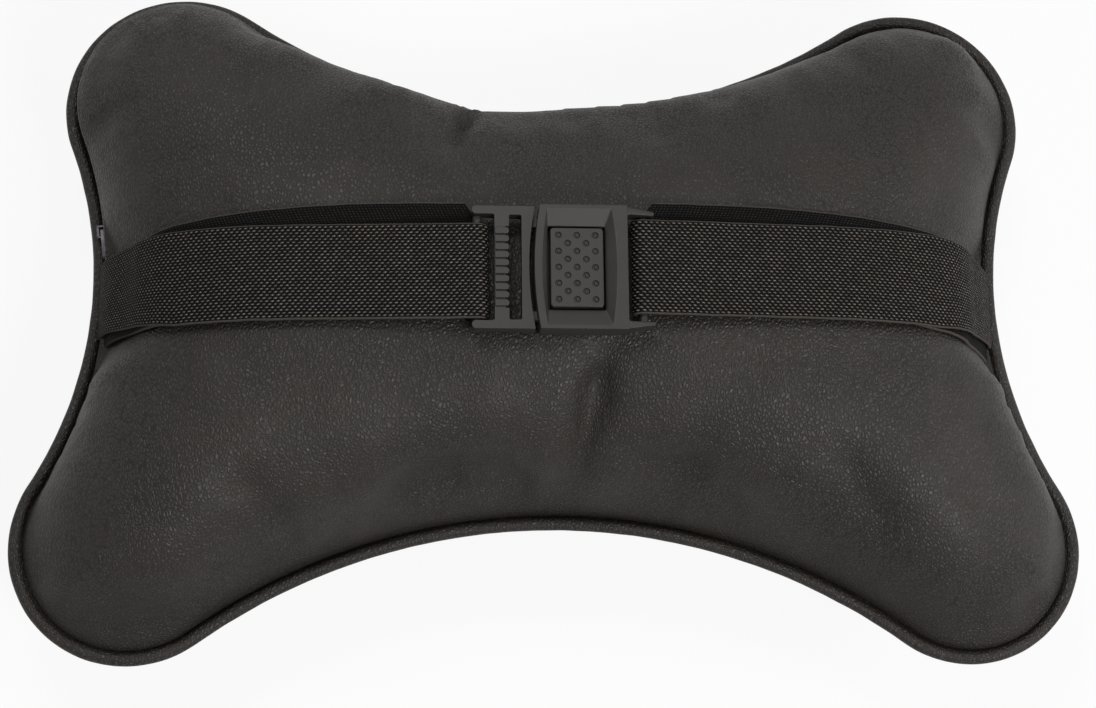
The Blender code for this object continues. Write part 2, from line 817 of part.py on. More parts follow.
def build_socket(base, collection, cutters, finish):
    """Right half of the buckle: body with a sloped window, side prongs and the hidden strap bar."""
    half = BUCKLE_WIDTH / 2 + WINDOW_BRIM
    left = LADDER_X + LADDER_WIDTH + SLOT_WIDTH + CURVED_BAR_WIDTH + PARTING
    right = left + SOCKET_LENGTH
    tip = prong_tip()
    inner = BUCKLE_WIDTH / 2 - LEG_THICKNESS
    body_outline = rounded([*bowed_edge(left, half)[::-1], (right, -half, EDGE_FILLET),
                            (right, half, EDGE_FILLET)])
    body = plate_from("buckle_socket", [body_outline], base, base + BUCKLE_HEIGHT, collection)
    body.location.y = BUCKLE_Y
    socket = as_mesh(body, collection, finish)
    low = base + BAR_RISE - BAR_DIAMETER / 2 + LEG_LIFT
    root = right - LEG_THICKNESS
    skin = half - PAD_INSET
    taper = half - PRONG_TAPER
    crotch = right + WINDOW_BRIM
    web = inner - 2 * FORK_FILLET
    fork = rounded([(root, -skin, 0), (right, -skin, 0), (tip, -taper, EDGE_FILLET),
                    (tip, -inner, EDGE_FILLET), (crotch, -inner, FORK_FILLET), (root, -web, 0),
                    (root, web, 0), (crotch, inner, FORK_FILLET), (tip, inner, EDGE_FILLET),
                    (tip, taper, EDGE_FILLET), (right, skin, 0), (root, skin, 0)])
    fork = plate_from("fork_form", [fork], low, low + LEG_HEIGHT, cutters)
    fork.location.y = BUCKLE_Y
    adds = [as_mesh(fork, cutters), strap_bar("socket_bar_form", SOCKET_BAR_X, base + BAR_RISE, cutters)]
    combine(socket, adds, "UNION")
    socket = as_mesh(socket, collection, finish)

    start, end = plate_span()
    floor = base + CAVITY_FLOOR
    ceiling = floor + CAVITY_HEIGHT
    hole_y = PLATE_WIDTH / 2 + PLATE_GAP
    outer_y = hole_y + ARM_WIDTH + CLEARANCE
    arm_tip = left - PARTING + ARM_REACH
    cavity_end = max(arm_tip, end + PLATE_GAP + PLATE_FLANGE) + PLATE_GAP
    cavity = block("cavity_form", (left - BUCKLE_HEIGHT, BUCKLE_Y - outer_y, floor),
                   (cavity_end, BUCKLE_Y + outer_y, ceiling), cutters)
    barb_y = outer_y + BARB_STEP
    pocket = block("pocket_form", (arm_tip - BARB_LENGTH - CLEARANCE, BUCKLE_Y - barb_y, floor),
                   (arm_tip + CLEARANCE, BUCKLE_Y + barb_y, floor + ARM_THICKNESS + 2 * CLEARANCE), cutters)
    lip = ceiling + LIP_THICKNESS
    hole = block("hole_form", (start - PLATE_GAP, BUCKLE_Y - hole_y, ceiling - FORM_OVERLAP),
                 (end + PLATE_GAP, BUCKLE_Y + hole_y, lip + FORM_OVERLAP), cutters)
    top = base + BUCKLE_HEIGHT + FORM_OVERLAP
    rim = half - WINDOW_WALL
    window_ring = []
    hole_ring = []
    for side in (-1, 1):
        edge = end + PLATE_GAP + WINDOW_BRIM if side > 0 else start - PLATE_GAP - WINDOW_BRIM
        for k in range(7):
            share = side * (k / 3 - 1)
            if side > 0:
                x = right - WINDOW_RIGHT + WINDOW_RIGHT_BOW * (1 - share ** 2)
            else:
                x = left + WINDOW_LEFT - WINDOW_LEFT_BOW * (1 - share ** 2)
            window_ring.append((x, BUCKLE_Y + share * rim, top))
            hole_ring.append((edge, BUCKLE_Y + share * (hole_y + WINDOW_BRIM), lip))
    window = loft("window_form", [hole_ring, window_ring], cutters)
    combine(socket, [cavity, pocket, hole, window], "DIFFERENCE")
    return as_mesh(socket, collection, finish)


def build_plate(base, collection, cutters, finish):
    """Press plate in the socket's window, kept in by its flange, with staggered pips on top."""
    start, end = plate_span()
    floor = base + CAVITY_FLOOR
    ceiling = floor + CAVITY_HEIGHT
    top = ceiling + LIP_THICKNESS + PLATE_STANDS
    low = floor + PLATE_TRAVEL + CLEARANCE
    half = PLATE_WIDTH / 2
    corners = [(start, -half), (end, -half), (end, half), (start, half)]
    crown = rounded([(x, y, PLATE_CORNER) for x, y in corners])
    head = plate_from("push_plate", [crown], low, top, collection)
    head.location.y = BUCKLE_Y
    plate = as_mesh(head, collection, finish)
    flange_x = PLATE_GAP + PLATE_FLANGE
    flange = block("flange_form", (start - flange_x, BUCKLE_Y - half, low),
                   (end + flange_x, BUCKLE_Y + half, ceiling - CLEARANCE), cutters)
    adds = [flange]
    middle_x = (start + end) / 2
    for row in range(9):
        columns = 3 if row % 2 == 0 else 2
        for column in range(columns):
            x = middle_x + (column - (columns - 1) / 2) * PIP_COLUMN_PITCH
            y = BUCKLE_Y + (4 - row) * PIP_ROW_PITCH
            adds.append(rod("pip_form_%d_%d" % (row, column), PIP_DIAMETER / 2,
                            (x, y, top - PIP_HEIGHT), (x, y, top + PIP_HEIGHT), cutters, 6))
    combine(plate, adds, "UNION")
    return as_mesh(plate, collection, finish)


def left_seam_run(inset, start_y, length, step):
    """Points along the left seam from a height upwards, and round the upper lobe."""
    arcs = outline_arcs()["left"][::-1] + outline_arcs()["top"][::-1]
    path = []
    for arc in arcs:
        steps = max(int(arc_length(arc, inset) / step), 2) * 4
        path += [arc_point(arc, 1 - k / steps, inset) for k in range(steps)]
    first = next(k for k in range(1, len(path)) if path[k].y >= start_y > path[k - 1].y and path[k].x < 0)
    share = (start_y - path[first - 1].y) / (path[first].y - path[first - 1].y)
    points = [path[first - 1].lerp(path[first], share)]
    done = 0.0
    for point in path[first:]:
        gap = (point - points[-1]).length
        if gap >= step:
            done += gap
            if done >= length:
                points.append(points[-1].lerp(point, 1 - (done - length) / gap))
                break
            points.append(point)
    return points


def ribbon(low, high):
    """Section of a thin upright tape."""
    half = TAPE_THICKNESS / 2
    return [(half, low), (-half, low), (-half, high), (half, high)]


def seam_frame(run, distance):
    """Place on the seam: along the seam, downwards and outwards as the three axes."""
    left = distance
    for a, b in zip(run, run[1:]):
        gap = (b - a).length
        if left <= gap or b is run[-1]:
            point = a.lerp(b, left / gap)
            along = Vector((b.x - a.x, b.y - a.y, 0.0)).normalized()
            break
        left -= gap
    down = Vector((0, 0, -1))
    out = along.cross(down)
    frame = Matrix((along, down, out)).transposed().to_4x4()
    frame.translation = (point.x, point.y, SEAM_HEIGHT + CHAIN_LOW + CHAIN_WIDTH / 2)
    return frame


def placed(item, frame):
    item.data.transform(frame)
    return item


def build_zip(collection, guides, cloth, nylon, metal):
    """Closed coil zip standing in the seam, with its two tapes, slider, pull and stops."""
    depth = RIM_INSET + CHAIN_THICKNESS / 2 + CLEARANCE
    run = left_seam_run(depth, ZIP_START_Y, ZIP_LENGTH, ZIP_STEP)
    tape_run = left_seam_run(depth, ZIP_START_Y - TAPE_TAIL, ZIP_LENGTH + 2 * TAPE_TAIL, ZIP_STEP)
    half = CHAIN_THICKNESS / 2
    chain_high = CHAIN_LOW + CHAIN_WIDTH
    rim = LIP + ZIP_OPENING
    bevel = CHAIN_THICKNESS / 4
    section = [(-half, CHAIN_LOW + bevel), (-half, chain_high - bevel), (-half + bevel, chain_high),
               (half - bevel, chain_high), (half, chain_high - bevel), (half, CHAIN_LOW + bevel),
               (half - bevel, CHAIN_LOW), (-half + bevel, CHAIN_LOW)]
    strips = {
        "zip_chain": (run, section[::-1], nylon),
        "zip_tape_lower": (tape_run, ribbon(LIP, CHAIN_LOW - CLEARANCE), cloth),
        "zip_tape_upper": (tape_run, ribbon(chain_high + CLEARANCE, rim - 3 * CLEARANCE), cloth),
    }
    for name, (path, profile, finish) in strips.items():
        made = swept(name, path[::-1], False, profile, collection, guides, finish, SEAM_HEIGHT)
        as_mesh(made, collection, finish)

    stop_size = (STOP_LENGTH / 2, CHAIN_WIDTH / 2, half + TAPE_THICKNESS / 2)
    low = [-v for v in stop_size]
    for name, distance in (("zip_top_stop", TAPE_TAIL - SLIDER_LENGTH / 2 - CLEARANCE - STOP_LENGTH / 2),
                           ("zip_bottom_stop", TAPE_TAIL + ZIP_LENGTH + CLEARANCE + STOP_LENGTH / 2)):
        stop = block(name, low, stop_size, collection)
        stop.data.materials.append(metal)
        placed(stop, seam_frame(tape_run, distance))
    build_slider(seam_frame(tape_run, TAPE_TAIL), collection, guides, metal)


def build_slider(frame, collection, cutters, metal):
    """Slider: two plates round the chain joined by a wedge, with a bridge that carries the pull."""
    gap = CHAIN_THICKNESS / 2 + CLEARANCE
    plate = SLIDER_PLATE
    reach = SLIDER_LENGTH / 2
    wide = CHAIN_WIDTH / 2 + CLEARANCE
    shape = rounded([(-reach, -wide * 0.7, 0.0006), (reach, -wide, 0.0006), (reach, wide, 0.0006),
                     (-reach, wide * 0.7, 0.0006)])
    outer = as_mesh(plate_from("zip_slider", [shape], gap, gap + plate, collection), collection, metal)
    inner = as_mesh(plate_from("slider_inner_form", [shape], -gap - plate, -gap, cutters), cutters)
    wedge = block("slider_wedge_form", (-reach + PULL_BAR, -wide * 0.4, -gap - plate / 2),
                  (-CLEARANCE, wide * 0.4, gap + plate / 2), cutters)
    top = gap + plate
    post = block("slider_post_form", (-PULL_EYE, -PULL_BAR, top - plate / 2),
                 (-PULL_EYE + PULL_BAR, PULL_BAR, top + BRIDGE_HEIGHT), cutters)
    far_post = block("slider_far_post_form", (PULL_BAR + CLEARANCE, -PULL_BAR, top - plate / 2),
                     (2 * PULL_BAR + CLEARANCE, PULL_BAR, top + BRIDGE_HEIGHT), cutters)
    bridge = block("slider_bridge_form", (-PULL_EYE, -PULL_BAR * 0.9, top + BRIDGE_HEIGHT - PULL_BAR),
                   (2 * PULL_BAR + CLEARANCE, PULL_BAR * 0.9, top + BRIDGE_HEIGHT + CLEARANCE / 3), cutters)
    combine(outer, [inner, wedge, post, far_post, bridge], "UNION")
    placed(as_mesh(outer, collection, metal), frame)

    middle = top + CLEARANCE + PULL_THICKNESS / 2
    bar = PULL_BAR / 2
    eye_half = PULL_BAR + CLEARANCE
    eye_end = math.hypot(PULL_EYE, top + BRIDGE_HEIGHT - middle) + CLEARANCE
    tab = rounded([(bar, -eye_half - bar, 0.0002), (bar, eye_half + bar, 0.0002),
                   (-eye_end, PULL_WIDTH / 2, 0.0004), (-PULL_LENGTH, PULL_WIDTH / 2, 0.0012),
                   (-PULL_LENGTH, -PULL_WIDTH / 2, 0.0012), (-eye_end, -PULL_WIDTH / 2, 0.0004)])
    eye = [(-bar, -eye_half), (-bar, eye_half), (-eye_end, eye_half), (-eye_end, -eye_half)]
    pull = plate_from("zip_pull", [tab, eye], middle - PULL_THICKNESS / 2, middle + PULL_THICKNESS / 2,
                      collection)
    placed(as_mesh(pull, collection, metal), frame)


def main():
    clear_scene()
    pillow = new_collection("car_neck_pillow")
    cutters = new_collection("forms")
    leatherette = material("leatherette", (0.022, 0.020, 0.019), 0.55)
    liner = material("liner_cloth", (0.75, 0.75, 0.73), 0.9)
    webbing = material("elastic_webbing", (0.012, 0.011, 0.011), 0.85)
    acetal = material("moulded_acetal", (0.045, 0.042, 0.039), 0.5)
    zip_cloth = material("zip_tape", (0.010, 0.010, 0.010), 0.8)
    nylon = material("nylon_coil", (0.014, 0.014, 0.014), 0.5)
    zip_metal = material("gunmetal_plated_zinc", (0.10, 0.10, 0.11), 0.35, 0.9)

    rear = build_panel("rear_panel", rear_height, False, pillow, leatherette, zip_rise)
    build_panel("front_panel", front_height, True, pillow, leatherette)
    build_filling(pillow, liner)
    build_piping(pillow, cutters, leatherette)

    bpy.context.view_layer.update()
    graph = bpy.context.evaluated_depsgraph_get()
    tree = BVHTree.FromObject(rear, graph)
    base = buckle_base(tree)
    level = base + BAR_RISE
    build_strap("elastic_strap_left", -1, -TONGUE_BAR_X, level, tree, pillow, webbing)
    build_strap("elastic_strap_right", 1, SOCKET_BAR_X, level, tree, pillow, webbing)
    build_tongue(base, pillow, cutters, acetal)
    build_socket(base, pillow, cutters, acetal)
    build_plate(base, pillow, cutters, acetal)
    build_zip(pillow, cutters, zip_cloth, nylon, zip_metal)


main()
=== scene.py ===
"""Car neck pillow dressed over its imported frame: grained leatherette, woven elastic, buckle and zip."""
import math

import bmesh
import bpy
import numpy as np
from mathutils import Matrix, Vector, noise
from mathutils.bvhtree import BVHTree
from mathutils.kdtree import KDTree


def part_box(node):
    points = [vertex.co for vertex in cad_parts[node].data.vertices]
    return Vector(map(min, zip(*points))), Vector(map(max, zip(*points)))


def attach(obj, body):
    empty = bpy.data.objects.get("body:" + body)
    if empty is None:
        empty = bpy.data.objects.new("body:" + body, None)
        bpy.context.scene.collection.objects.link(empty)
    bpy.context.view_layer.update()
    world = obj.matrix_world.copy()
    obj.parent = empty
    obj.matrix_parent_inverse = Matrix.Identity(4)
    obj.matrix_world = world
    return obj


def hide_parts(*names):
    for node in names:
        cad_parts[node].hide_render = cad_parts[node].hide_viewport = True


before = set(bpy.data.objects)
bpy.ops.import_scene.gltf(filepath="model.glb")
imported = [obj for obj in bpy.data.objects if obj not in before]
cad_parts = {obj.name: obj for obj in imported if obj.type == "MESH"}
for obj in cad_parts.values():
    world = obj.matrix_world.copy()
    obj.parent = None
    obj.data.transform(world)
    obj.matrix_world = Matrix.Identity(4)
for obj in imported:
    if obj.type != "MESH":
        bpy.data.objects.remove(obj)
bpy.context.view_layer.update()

mm = 0.001

# Camera
# The photograph looks down on the strap side from 76 degrees, with the pillow turned 20 degrees to the lens
# and the picture turned back by as much.
PHOTO_WIDTH = 1096
FOCAL_LENGTH_PIXELS = 2236
view_target = Vector((-2.0, -10.3, 45.0)) * mm
view_distance = 600 * mm
view_elevation = math.radians(76.0)
view_heading = math.radians(-110.34)
view_roll = math.radians(20.31)

back = Vector((math.cos(view_elevation) * math.cos(view_heading),
               math.cos(view_elevation) * math.sin(view_heading), math.sin(view_elevation)))
level_right = Vector((0, 0, 1)).cross(back).normalized()
level_up = back.cross(level_right)
picture_right = level_right * math.cos(view_roll) + level_up * math.sin(view_roll)
picture_up = level_up * math.cos(view_roll) - level_right * math.sin(view_roll)
lens = bpy.data.cameras.new("camera")
lens.sensor_fit = "HORIZONTAL"
lens.lens = FOCAL_LENGTH_PIXELS / PHOTO_WIDTH * lens.sensor_width
lens.clip_start = 10 * mm
camera = bpy.data.objects.new("camera", lens)
camera.matrix_world = (Matrix.Translation(view_target + back * view_distance)
                       @ Matrix((picture_right, picture_up, back)).transposed().to_4x4())
bpy.context.scene.collection.objects.link(camera)
bpy.context.scene.camera = camera
bpy.context.scene.view_settings.view_transform = "Standard"


# Floor and studio light
# A white table under three softboxes, at the pillow's lower right, above its upper edge and at its right,
# and a dim white room. The table shows white to the lens and keeps the pillow's soft shadow.
TABLE_REACH = 3.0
TABLE_WHITENESS = 0.90
ROOM_LIGHT = 0.045
SOFTBOX_AIM = Vector((0, 0, 0.04))


def hex_colour(text):
    """sRGB hex text as the linear values that a node takes."""
    parts = [int(text[k:k + 2], 16) / 255 for k in (1, 3, 5)]
    linear = [v / 12.92 if v <= 0.04045 else ((v + 0.055) / 1.055) ** 2.4 for v in parts]
    return (*linear, 1.0)


def add_node(tree, kind, inputs=None, **settings):
    """One node with its settings, and with values or links on its inputs."""
    made = tree.nodes.new(kind)
    for name, value in settings.items():
        setattr(made, name, value)
    for key, value in (inputs or {}).items():
        if isinstance(value, bpy.types.NodeSocket):
            tree.links.new(value, made.inputs[key])
        else:
            made.inputs[key].default_value = value
    return made


def maths(tree, operation, *values):
    """Result of a math node on values or links."""
    return add_node(tree, "ShaderNodeMath", dict(enumerate(values)), operation=operation).outputs[0]


def new_material(name):
    """An empty material with its Principled shader joined to the output."""
    made = bpy.data.materials.new(name)
    made.use_nodes = True
    tree = made.node_tree
    tree.nodes.clear()
    shader = add_node(tree, "ShaderNodeBsdfPrincipled")
    add_node(tree, "ShaderNodeOutputMaterial", {"Surface": shader.outputs[0]})
    return made, tree, shader


def new_object(name, data):
    """An object with its mesh or light, in the scene."""
    made = bpy.data.objects.new(name, data)
    bpy.context.scene.collection.objects.link(made)
    return made


def mesh_piece(name, points, faces, *finishes):
    """A new mesh object from points and faces, with its materials."""
    mesh = bpy.data.meshes.new(name)
    mesh.from_pydata([tuple(p) for p in points], [], faces)
    mesh.update()
    for finish in finishes:
        mesh.materials.append(finish)
    return new_object(name, mesh)


# Matt white table surface: shown mostly by its own white, darkened a little where the pillow shades it
table_white, tree, shader = new_material("table_white")
shader.inputs["Base Color"].default_value = hex_colour("#e6e6e6")
shader.inputs["Roughness"].default_value = 0.8
glow = add_node(tree, "ShaderNodeEmission", {"Color": (1, 1, 1, 1), "Strength": 1.0})
seen = add_node(tree, "ShaderNodeLightPath").outputs
shown = maths(tree, "MAXIMUM", seen["Is Camera Ray"], seen["Is Glossy Ray"])
veil = maths(tree, "MULTIPLY", shown, TABLE_WHITENESS)
surface = add_node(tree, "ShaderNodeMixShader", {0: veil, 1: shader.outputs[0], 2: glow.outputs[0]})
output = next(node for node in tree.nodes if node.bl_idname == "ShaderNodeOutputMaterial")
tree.links.new(surface.outputs[0], output.inputs["Surface"])
table_corners = [(x * TABLE_REACH, y * TABLE_REACH, 0) for x, y in ((-1, -1), (1, -1), (1, 1), (-1, 1))]
floor = mesh_piece("floor", table_corners, [(0, 1, 2, 3)], table_white)

# Room: dim as a light, plain white where the lens, a reflection or a see-through surface looks at it
room = bpy.data.worlds.new("white_room")
room.use_nodes = True
bpy.context.scene.world = room
tree = room.node_tree
room_light = tree.nodes["Background"]
room_light.inputs["Color"].default_value = hex_colour("#ffffff")
room_light.inputs["Strength"].default_value = ROOM_LIGHT
white_wall = add_node(tree, "ShaderNodeBackground", {"Color": (1, 1, 1, 1), "Strength": 1.0})
seen = add_node(tree, "ShaderNodeLightPath").outputs
beyond = maths(tree, "MAXIMUM", seen["Is Glossy Ray"], seen["Is Transmission Ray"])
shown = maths(tree, "MAXIMUM", seen["Is Camera Ray"], beyond)
wall = add_node(tree, "ShaderNodeMixShader", {0: shown, 1: room_light.outputs[0], 2: white_wall.outputs[0]})
tree.links.new(wall.outputs[0], tree.nodes["World Output"].inputs["Surface"])

for name, place, size, power in (("lower_softbox", (0.44, -0.58, 0.92), (0.36, 0.28), 8.2),
                                 ("upper_softbox", (-0.22, 0.55, 1.02), (0.40, 0.30), 5.2),
                                 ("side_softbox", (0.95, 0.05, 0.50), (0.4, 0.3), 2.6)):
    softbox = bpy.data.lights.new(name, "AREA")
    softbox.shape = "RECTANGLE"
    softbox.size, softbox.size_y = size
    softbox.energy = power
    lamp = new_object(name, softbox)
    lamp.location = place
    lamp.rotation_euler = (Vector(place) - SOFTBOX_AIM).to_track_quat("Z", "Y").to_euler()

# Leatherette
# Black-brown synthetic leather of about 1 mm on a knit backing, embossed with a pebble grain of about 0.9 by
# 1.35 mm and left semi-matt, so the pebbles catch a soft warm light, with painted shade in the thin creases
# between them.
GRAIN_ACROSS = 0.92 * mm
GRAIN_ALONG = 1.35 * mm
GRAIN_DEPTH = 0.12 * mm
GRAIN_DRIFT = 1.3


def vector_maths(tree, operation, *values):
    """Result of a vector math node on vectors or links."""
    return add_node(tree, "ShaderNodeVectorMath", dict(enumerate(values)), operation=operation).outputs[0]


def noise_texture(tree, place, size, detail):
    """Noise with features of a size in metres."""
    texture = add_node(tree, "ShaderNodeTexNoise", {"Vector": place, "Scale": 1 / size, "Detail": detail})
    return texture.outputs[0]


def remapped(tree, value, source, target, easing="LINEAR"):
    """A value taken from one range to another."""
    return add_node(tree, "ShaderNodeMapRange",
                    {"Value": value, "From Min": source[0], "From Max": source[1], "To Min": target[0],
                     "To Max": target[1]}, interpolation_type=easing).outputs[0]


def blended(tree, share, first, second):
    """A colour between two, each given as hex text or as a link."""
    ends = [hex_colour(end) if isinstance(end, str) else end for end in (first, second)]
    return add_node(tree, "ShaderNodeMix", {0: share, 6: ends[0], 7: ends[1]}, data_type="RGBA").outputs[2]


def bumped(tree, height, strength, depth):
    """A normal tilted by a height of 0 to 1 over a depth in metres."""
    bump = add_node(tree, "ShaderNodeBump", {"Strength": strength, "Distance": depth, "Height": height})
    return bump.outputs[0]


leatherette, tree, shader = new_material("leatherette_pebble_grain")
place = add_node(tree, "ShaderNodeTexCoord").outputs["Object"]
drift = add_node(tree, "ShaderNodeTexNoise", {"Vector": place, "Scale": 1 / (3.0 * mm), "Detail": 2.0})
centred = vector_maths(tree, "SUBTRACT", drift.outputs["Color"], (0.5, 0.5, 0.5))
cells = vector_maths(tree, "MULTIPLY", place, (1 / GRAIN_ACROSS, 1 / GRAIN_ALONG, 1 / GRAIN_ACROSS))
shifted = vector_maths(tree, "MULTIPLY_ADD", centred, (GRAIN_DRIFT,) * 3, cells)
pebbles = add_node(tree, "ShaderNodeTexVoronoi", {"Vector": shifted, "Scale": 1.0},
                   feature="DISTANCE_TO_EDGE")
from_crease = pebbles.outputs["Distance"]
dome = remapped(tree, from_crease, (0.0, 0.34), (0.0, 1.0), "SMOOTHERSTEP")
groove = remapped(tree, from_crease, (0.02, 0.16), (1.0, 0.0), "SMOOTHSTEP")
pores = noise_texture(tree, place, 0.5 * mm, 3.0)
relief = maths(tree, "MULTIPLY_ADD", pores, 0.45, dome)
patches = noise_texture(tree, place, 24 * mm, 3.0)
# Painted shade: the base colour is darkened along the grooves between the pebbles, more in random patches,
# and the same mask raises the roughness there
crease_shade_mask = maths(tree, "MULTIPLY", groove, remapped(tree, patches, (0.36, 0.60), (0.45, 1.0)))
grain_tone_and_crease_shade = blended(tree, crease_shade_mask, blended(tree, pores, "#1b1714", "#2d2723"), "#0b0908")
gloss = remapped(tree, crease_shade_mask, (0.0, 1.0), (0.42, 0.64))
tree.links.new(grain_tone_and_crease_shade, shader.inputs["Base Color"])
tree.links.new(gloss, shader.inputs["Roughness"])
tree.links.new(bumped(tree, relief, 1.0, GRAIN_DEPTH), shader.inputs["Normal"])
shader.inputs["Specular IOR Level"].default_value = 0.26

# Outline of the cover
# Both panels are cut to one bone shape and sewn together round it: four round lobes joined by hollow arcs at
# the waist and along both long edges. The piping follows the same line.
WIDTH = 288 * mm
HEIGHT = 185 * mm
TOP_WIDTH = 267 * mm
TOP_LOBE_RADIUS = 32.5 * mm
BOTTOM_LOBE_RADIUS = 31.5 * mm
WAIST_RADIUS = 108 * mm
TOP_NOTCH_RADIUS = 150 * mm
PINCH_X = -20 * mm
PINCH_DEPTH = 4.4 * mm
PINCH_REACH = 10 * mm
BOTTOM_NOTCH_RADIUS = 162 * mm
PIPING_DIAMETER = 3.8 * mm
PANEL_SETBACK = 0.8 * mm
RIM_INSET = PIPING_DIAMETER + PANEL_SETBACK


def heading(start, end):
    return math.atan2(end.y - start.y, end.x - start.x)


def mirrored(arc):
    centre, radius, start, end, sign = arc
    return (Vector((-centre.x, centre.y)), radius, math.pi - end, math.pi - start, sign)


def outline_arcs():
    """The outline's arcs by side: centre, radius, start, end and 1 for a round or -1 for a hollow one."""
    top = Vector((TOP_WIDTH / 2 - TOP_LOBE_RADIUS, HEIGHT / 2 - TOP_LOBE_RADIUS))
    bottom = Vector((WIDTH / 2 - BOTTOM_LOBE_RADIUS, BOTTOM_LOBE_RADIUS - HEIGHT / 2))
    reach_top = WAIST_RADIUS + TOP_LOBE_RADIUS
    reach_bottom = WAIST_RADIUS + BOTTOM_LOBE_RADIUS
    between = top - bottom
    along = (reach_bottom ** 2 - reach_top ** 2 + between.length ** 2) / (2 * between.length)
    across = math.sqrt(reach_bottom ** 2 - along ** 2)
    unit = between.normalized()
    waist = bottom + unit * along + Vector((unit.y, -unit.x)) * across
    top_notch = Vector((0, top.y + math.sqrt((TOP_NOTCH_RADIUS + TOP_LOBE_RADIUS) ** 2 - top.x ** 2)))
    bottom_notch = Vector((0, bottom.y
                           - math.sqrt((BOTTOM_NOTCH_RADIUS + BOTTOM_LOBE_RADIUS) ** 2 - bottom.x ** 2)))
    bottom_start, bottom_end = heading(bottom, bottom_notch), heading(bottom, waist)
    top_start, top_end = heading(top, waist), heading(top, top_notch)
    bottom_mid = (bottom_start + bottom_end) / 2
    top_mid = (top_start + top_end) / 2
    low_lobe = (bottom, BOTTOM_LOBE_RADIUS, bottom_start, bottom_mid, 1)
    side_lobe = (bottom, BOTTOM_LOBE_RADIUS, bottom_mid, bottom_end, 1)
    high_side_lobe = (top, TOP_LOBE_RADIUS, top_start, top_mid, 1)
    high_lobe = (top, TOP_LOBE_RADIUS, top_mid, top_end, 1)
    full = 2 * math.pi
    side = (waist, WAIST_RADIUS, heading(waist, bottom) % full, heading(waist, top) % full, -1)
    low_turn = heading(bottom_notch, bottom)
    high_turn = heading(top_notch, top)
    low_arc = (bottom_notch, BOTTOM_NOTCH_RADIUS, math.pi - low_turn, low_turn, -1)
    high_arc = (top_notch, TOP_NOTCH_RADIUS, high_turn, -math.pi - high_turn, -1)
    return {"bottom": [mirrored(low_lobe), low_arc, low_lobe],
            "right": [side_lobe, side, high_side_lobe],
            "top": [high_lobe, high_arc, mirrored(high_lobe)],
            "left": [mirrored(high_side_lobe), mirrored(side), mirrored(side_lobe)]}


def arc_point(arc, share, inset):
    centre, radius, start, end, sign = arc
    angle = start + (end - start) * share
    reach = radius - sign * inset
    return Vector((centre.x + reach * math.cos(angle), centre.y + reach * math.sin(angle)))


def pinched(point):
    """An outline point, drawn in where a fold of the cover pulls on the upper seam."""
    draw = PINCH_DEPTH * math.exp(-((point[0] - PINCH_X) / PINCH_REACH) ** 2)
    return Vector((point[0], point[1] - draw)) if point[1] > 0 else point


def run_points(arcs, inset, step=None, count=None):
    """Even points along a run of arcs, by step or by count, both ends included."""
    lengths = [abs(arc[3] - arc[2]) * (arc[1] - arc[4] * inset) for arc in arcs]
    total = sum(lengths)
    count = count or max(round(total / step), 1)
    points = []
    for k in range(count + 1):
        left = total * k / count
        for arc, length in zip(arcs, lengths):
            if left <= length or arc is arcs[-1]:
                points.append(pinched(arc_point(arc, min(left / length, 1.0), inset)))
                break
            left -= length
    return points


def whole_outline(inset, step):
    """Closed run of even points round the cover."""
    points = []
    for arcs in outline_arcs().values():
        points += run_points(arcs, inset, step)[:-1]
    return points


# Stuffed cover panels
# Two leatherette panels, cut alike and sewn round the edge with the piping between them, stand out over the
# fibre filling. The stuffing pulls puckers in along the seam and folds where the pillow is narrow.
SEAM_HEIGHT = 34 * mm
SEAM_LIP = 0.7 * mm
REAR_CROWN = 45 * mm
FRONT_CROWN = 37 * mm
FULLNESS = 0.44
STRAP_LINE_Y = 3.4 * mm
STRAP_DIP = 3.0 * mm
STRAP_DIP_WIDTH = 20 * mm
COLUMNS = 18
ROWS = 12
CAGE_LEVELS = 3
HEM_HEIGHT = 1.8 * mm
PANEL_THICKNESS = 1.0 * mm

# Folds on the strap side: start and end in shares of half the width and half the height, depth (less than
# nothing where the filling pushes a lump out) and half width
FOLDS = [
    ((0.072, -0.20), (0.028, -0.50), 4.6 * mm, 7.0 * mm),
    ((0.13, -0.46), (0.27, -0.51), 3.6 * mm, 8.5 * mm),
    ((0.28, -0.52), (0.34, -0.63), 2.4 * mm, 7.0 * mm),
    ((-0.30, -0.56), (-0.17, -0.50), 4.4 * mm, 9.0 * mm),
    ((-0.16, -0.50), (-0.04, -0.53), 3.4 * mm, 8.0 * mm),
    ((0.04, -0.62), (0.08, -0.62), -2.2 * mm, 8.0 * mm),
    ((0.16, -0.62), (0.20, -0.62), -2.2 * mm, 7.0 * mm),
    ((-0.13, -0.62), (-0.08, -0.62), -2.0 * mm, 7.0 * mm),
    ((-0.20, 0.44), (-0.14, 0.68), 4.2 * mm, 5.0 * mm),
    ((-0.36, 0.60), (-0.27, 0.62), -2.6 * mm, 13.0 * mm),
    ((0.20, 0.46), (0.18, 0.66), 1.6 * mm, 8.0 * mm),
    ((-0.58, -0.52), (-0.47, -0.68), 2.2 * mm, 8.0 * mm),
    ((0.50, -0.46), (0.60, -0.70), 2.0 * mm, 9.0 * mm),
    ((0.30, 0.60), (0.36, 0.90), 1.8 * mm, 7.0 * mm),
]
FOLD_WAVER = 2.2 * mm
FOLD_WAVER_SIZE = 14 * mm
SEAM_STEP = 1.0 * mm
SEAM_GAP = 0.2 * mm
SEAM_EASE = 7 * mm
OVERHANG_LOW = 0.3 * mm
OVERHANG_HIGH = 5.5 * mm
OVERHANG_SIDE = 3.4 * mm
OVERHANG_HEIGHT = 34 * mm
OVERHANG_REACH = 28 * mm
ON_SEAM = 0.5 * mm
PUCKER_DEPTH = 1.5 * mm
PUCKER_REACH = 15 * mm
PUCKER_PITCH = 11 * mm
LUMP_DEPTH = 1.1 * mm
LUMP_SIZE = 26 * mm
STILL_RIM = 5 * mm

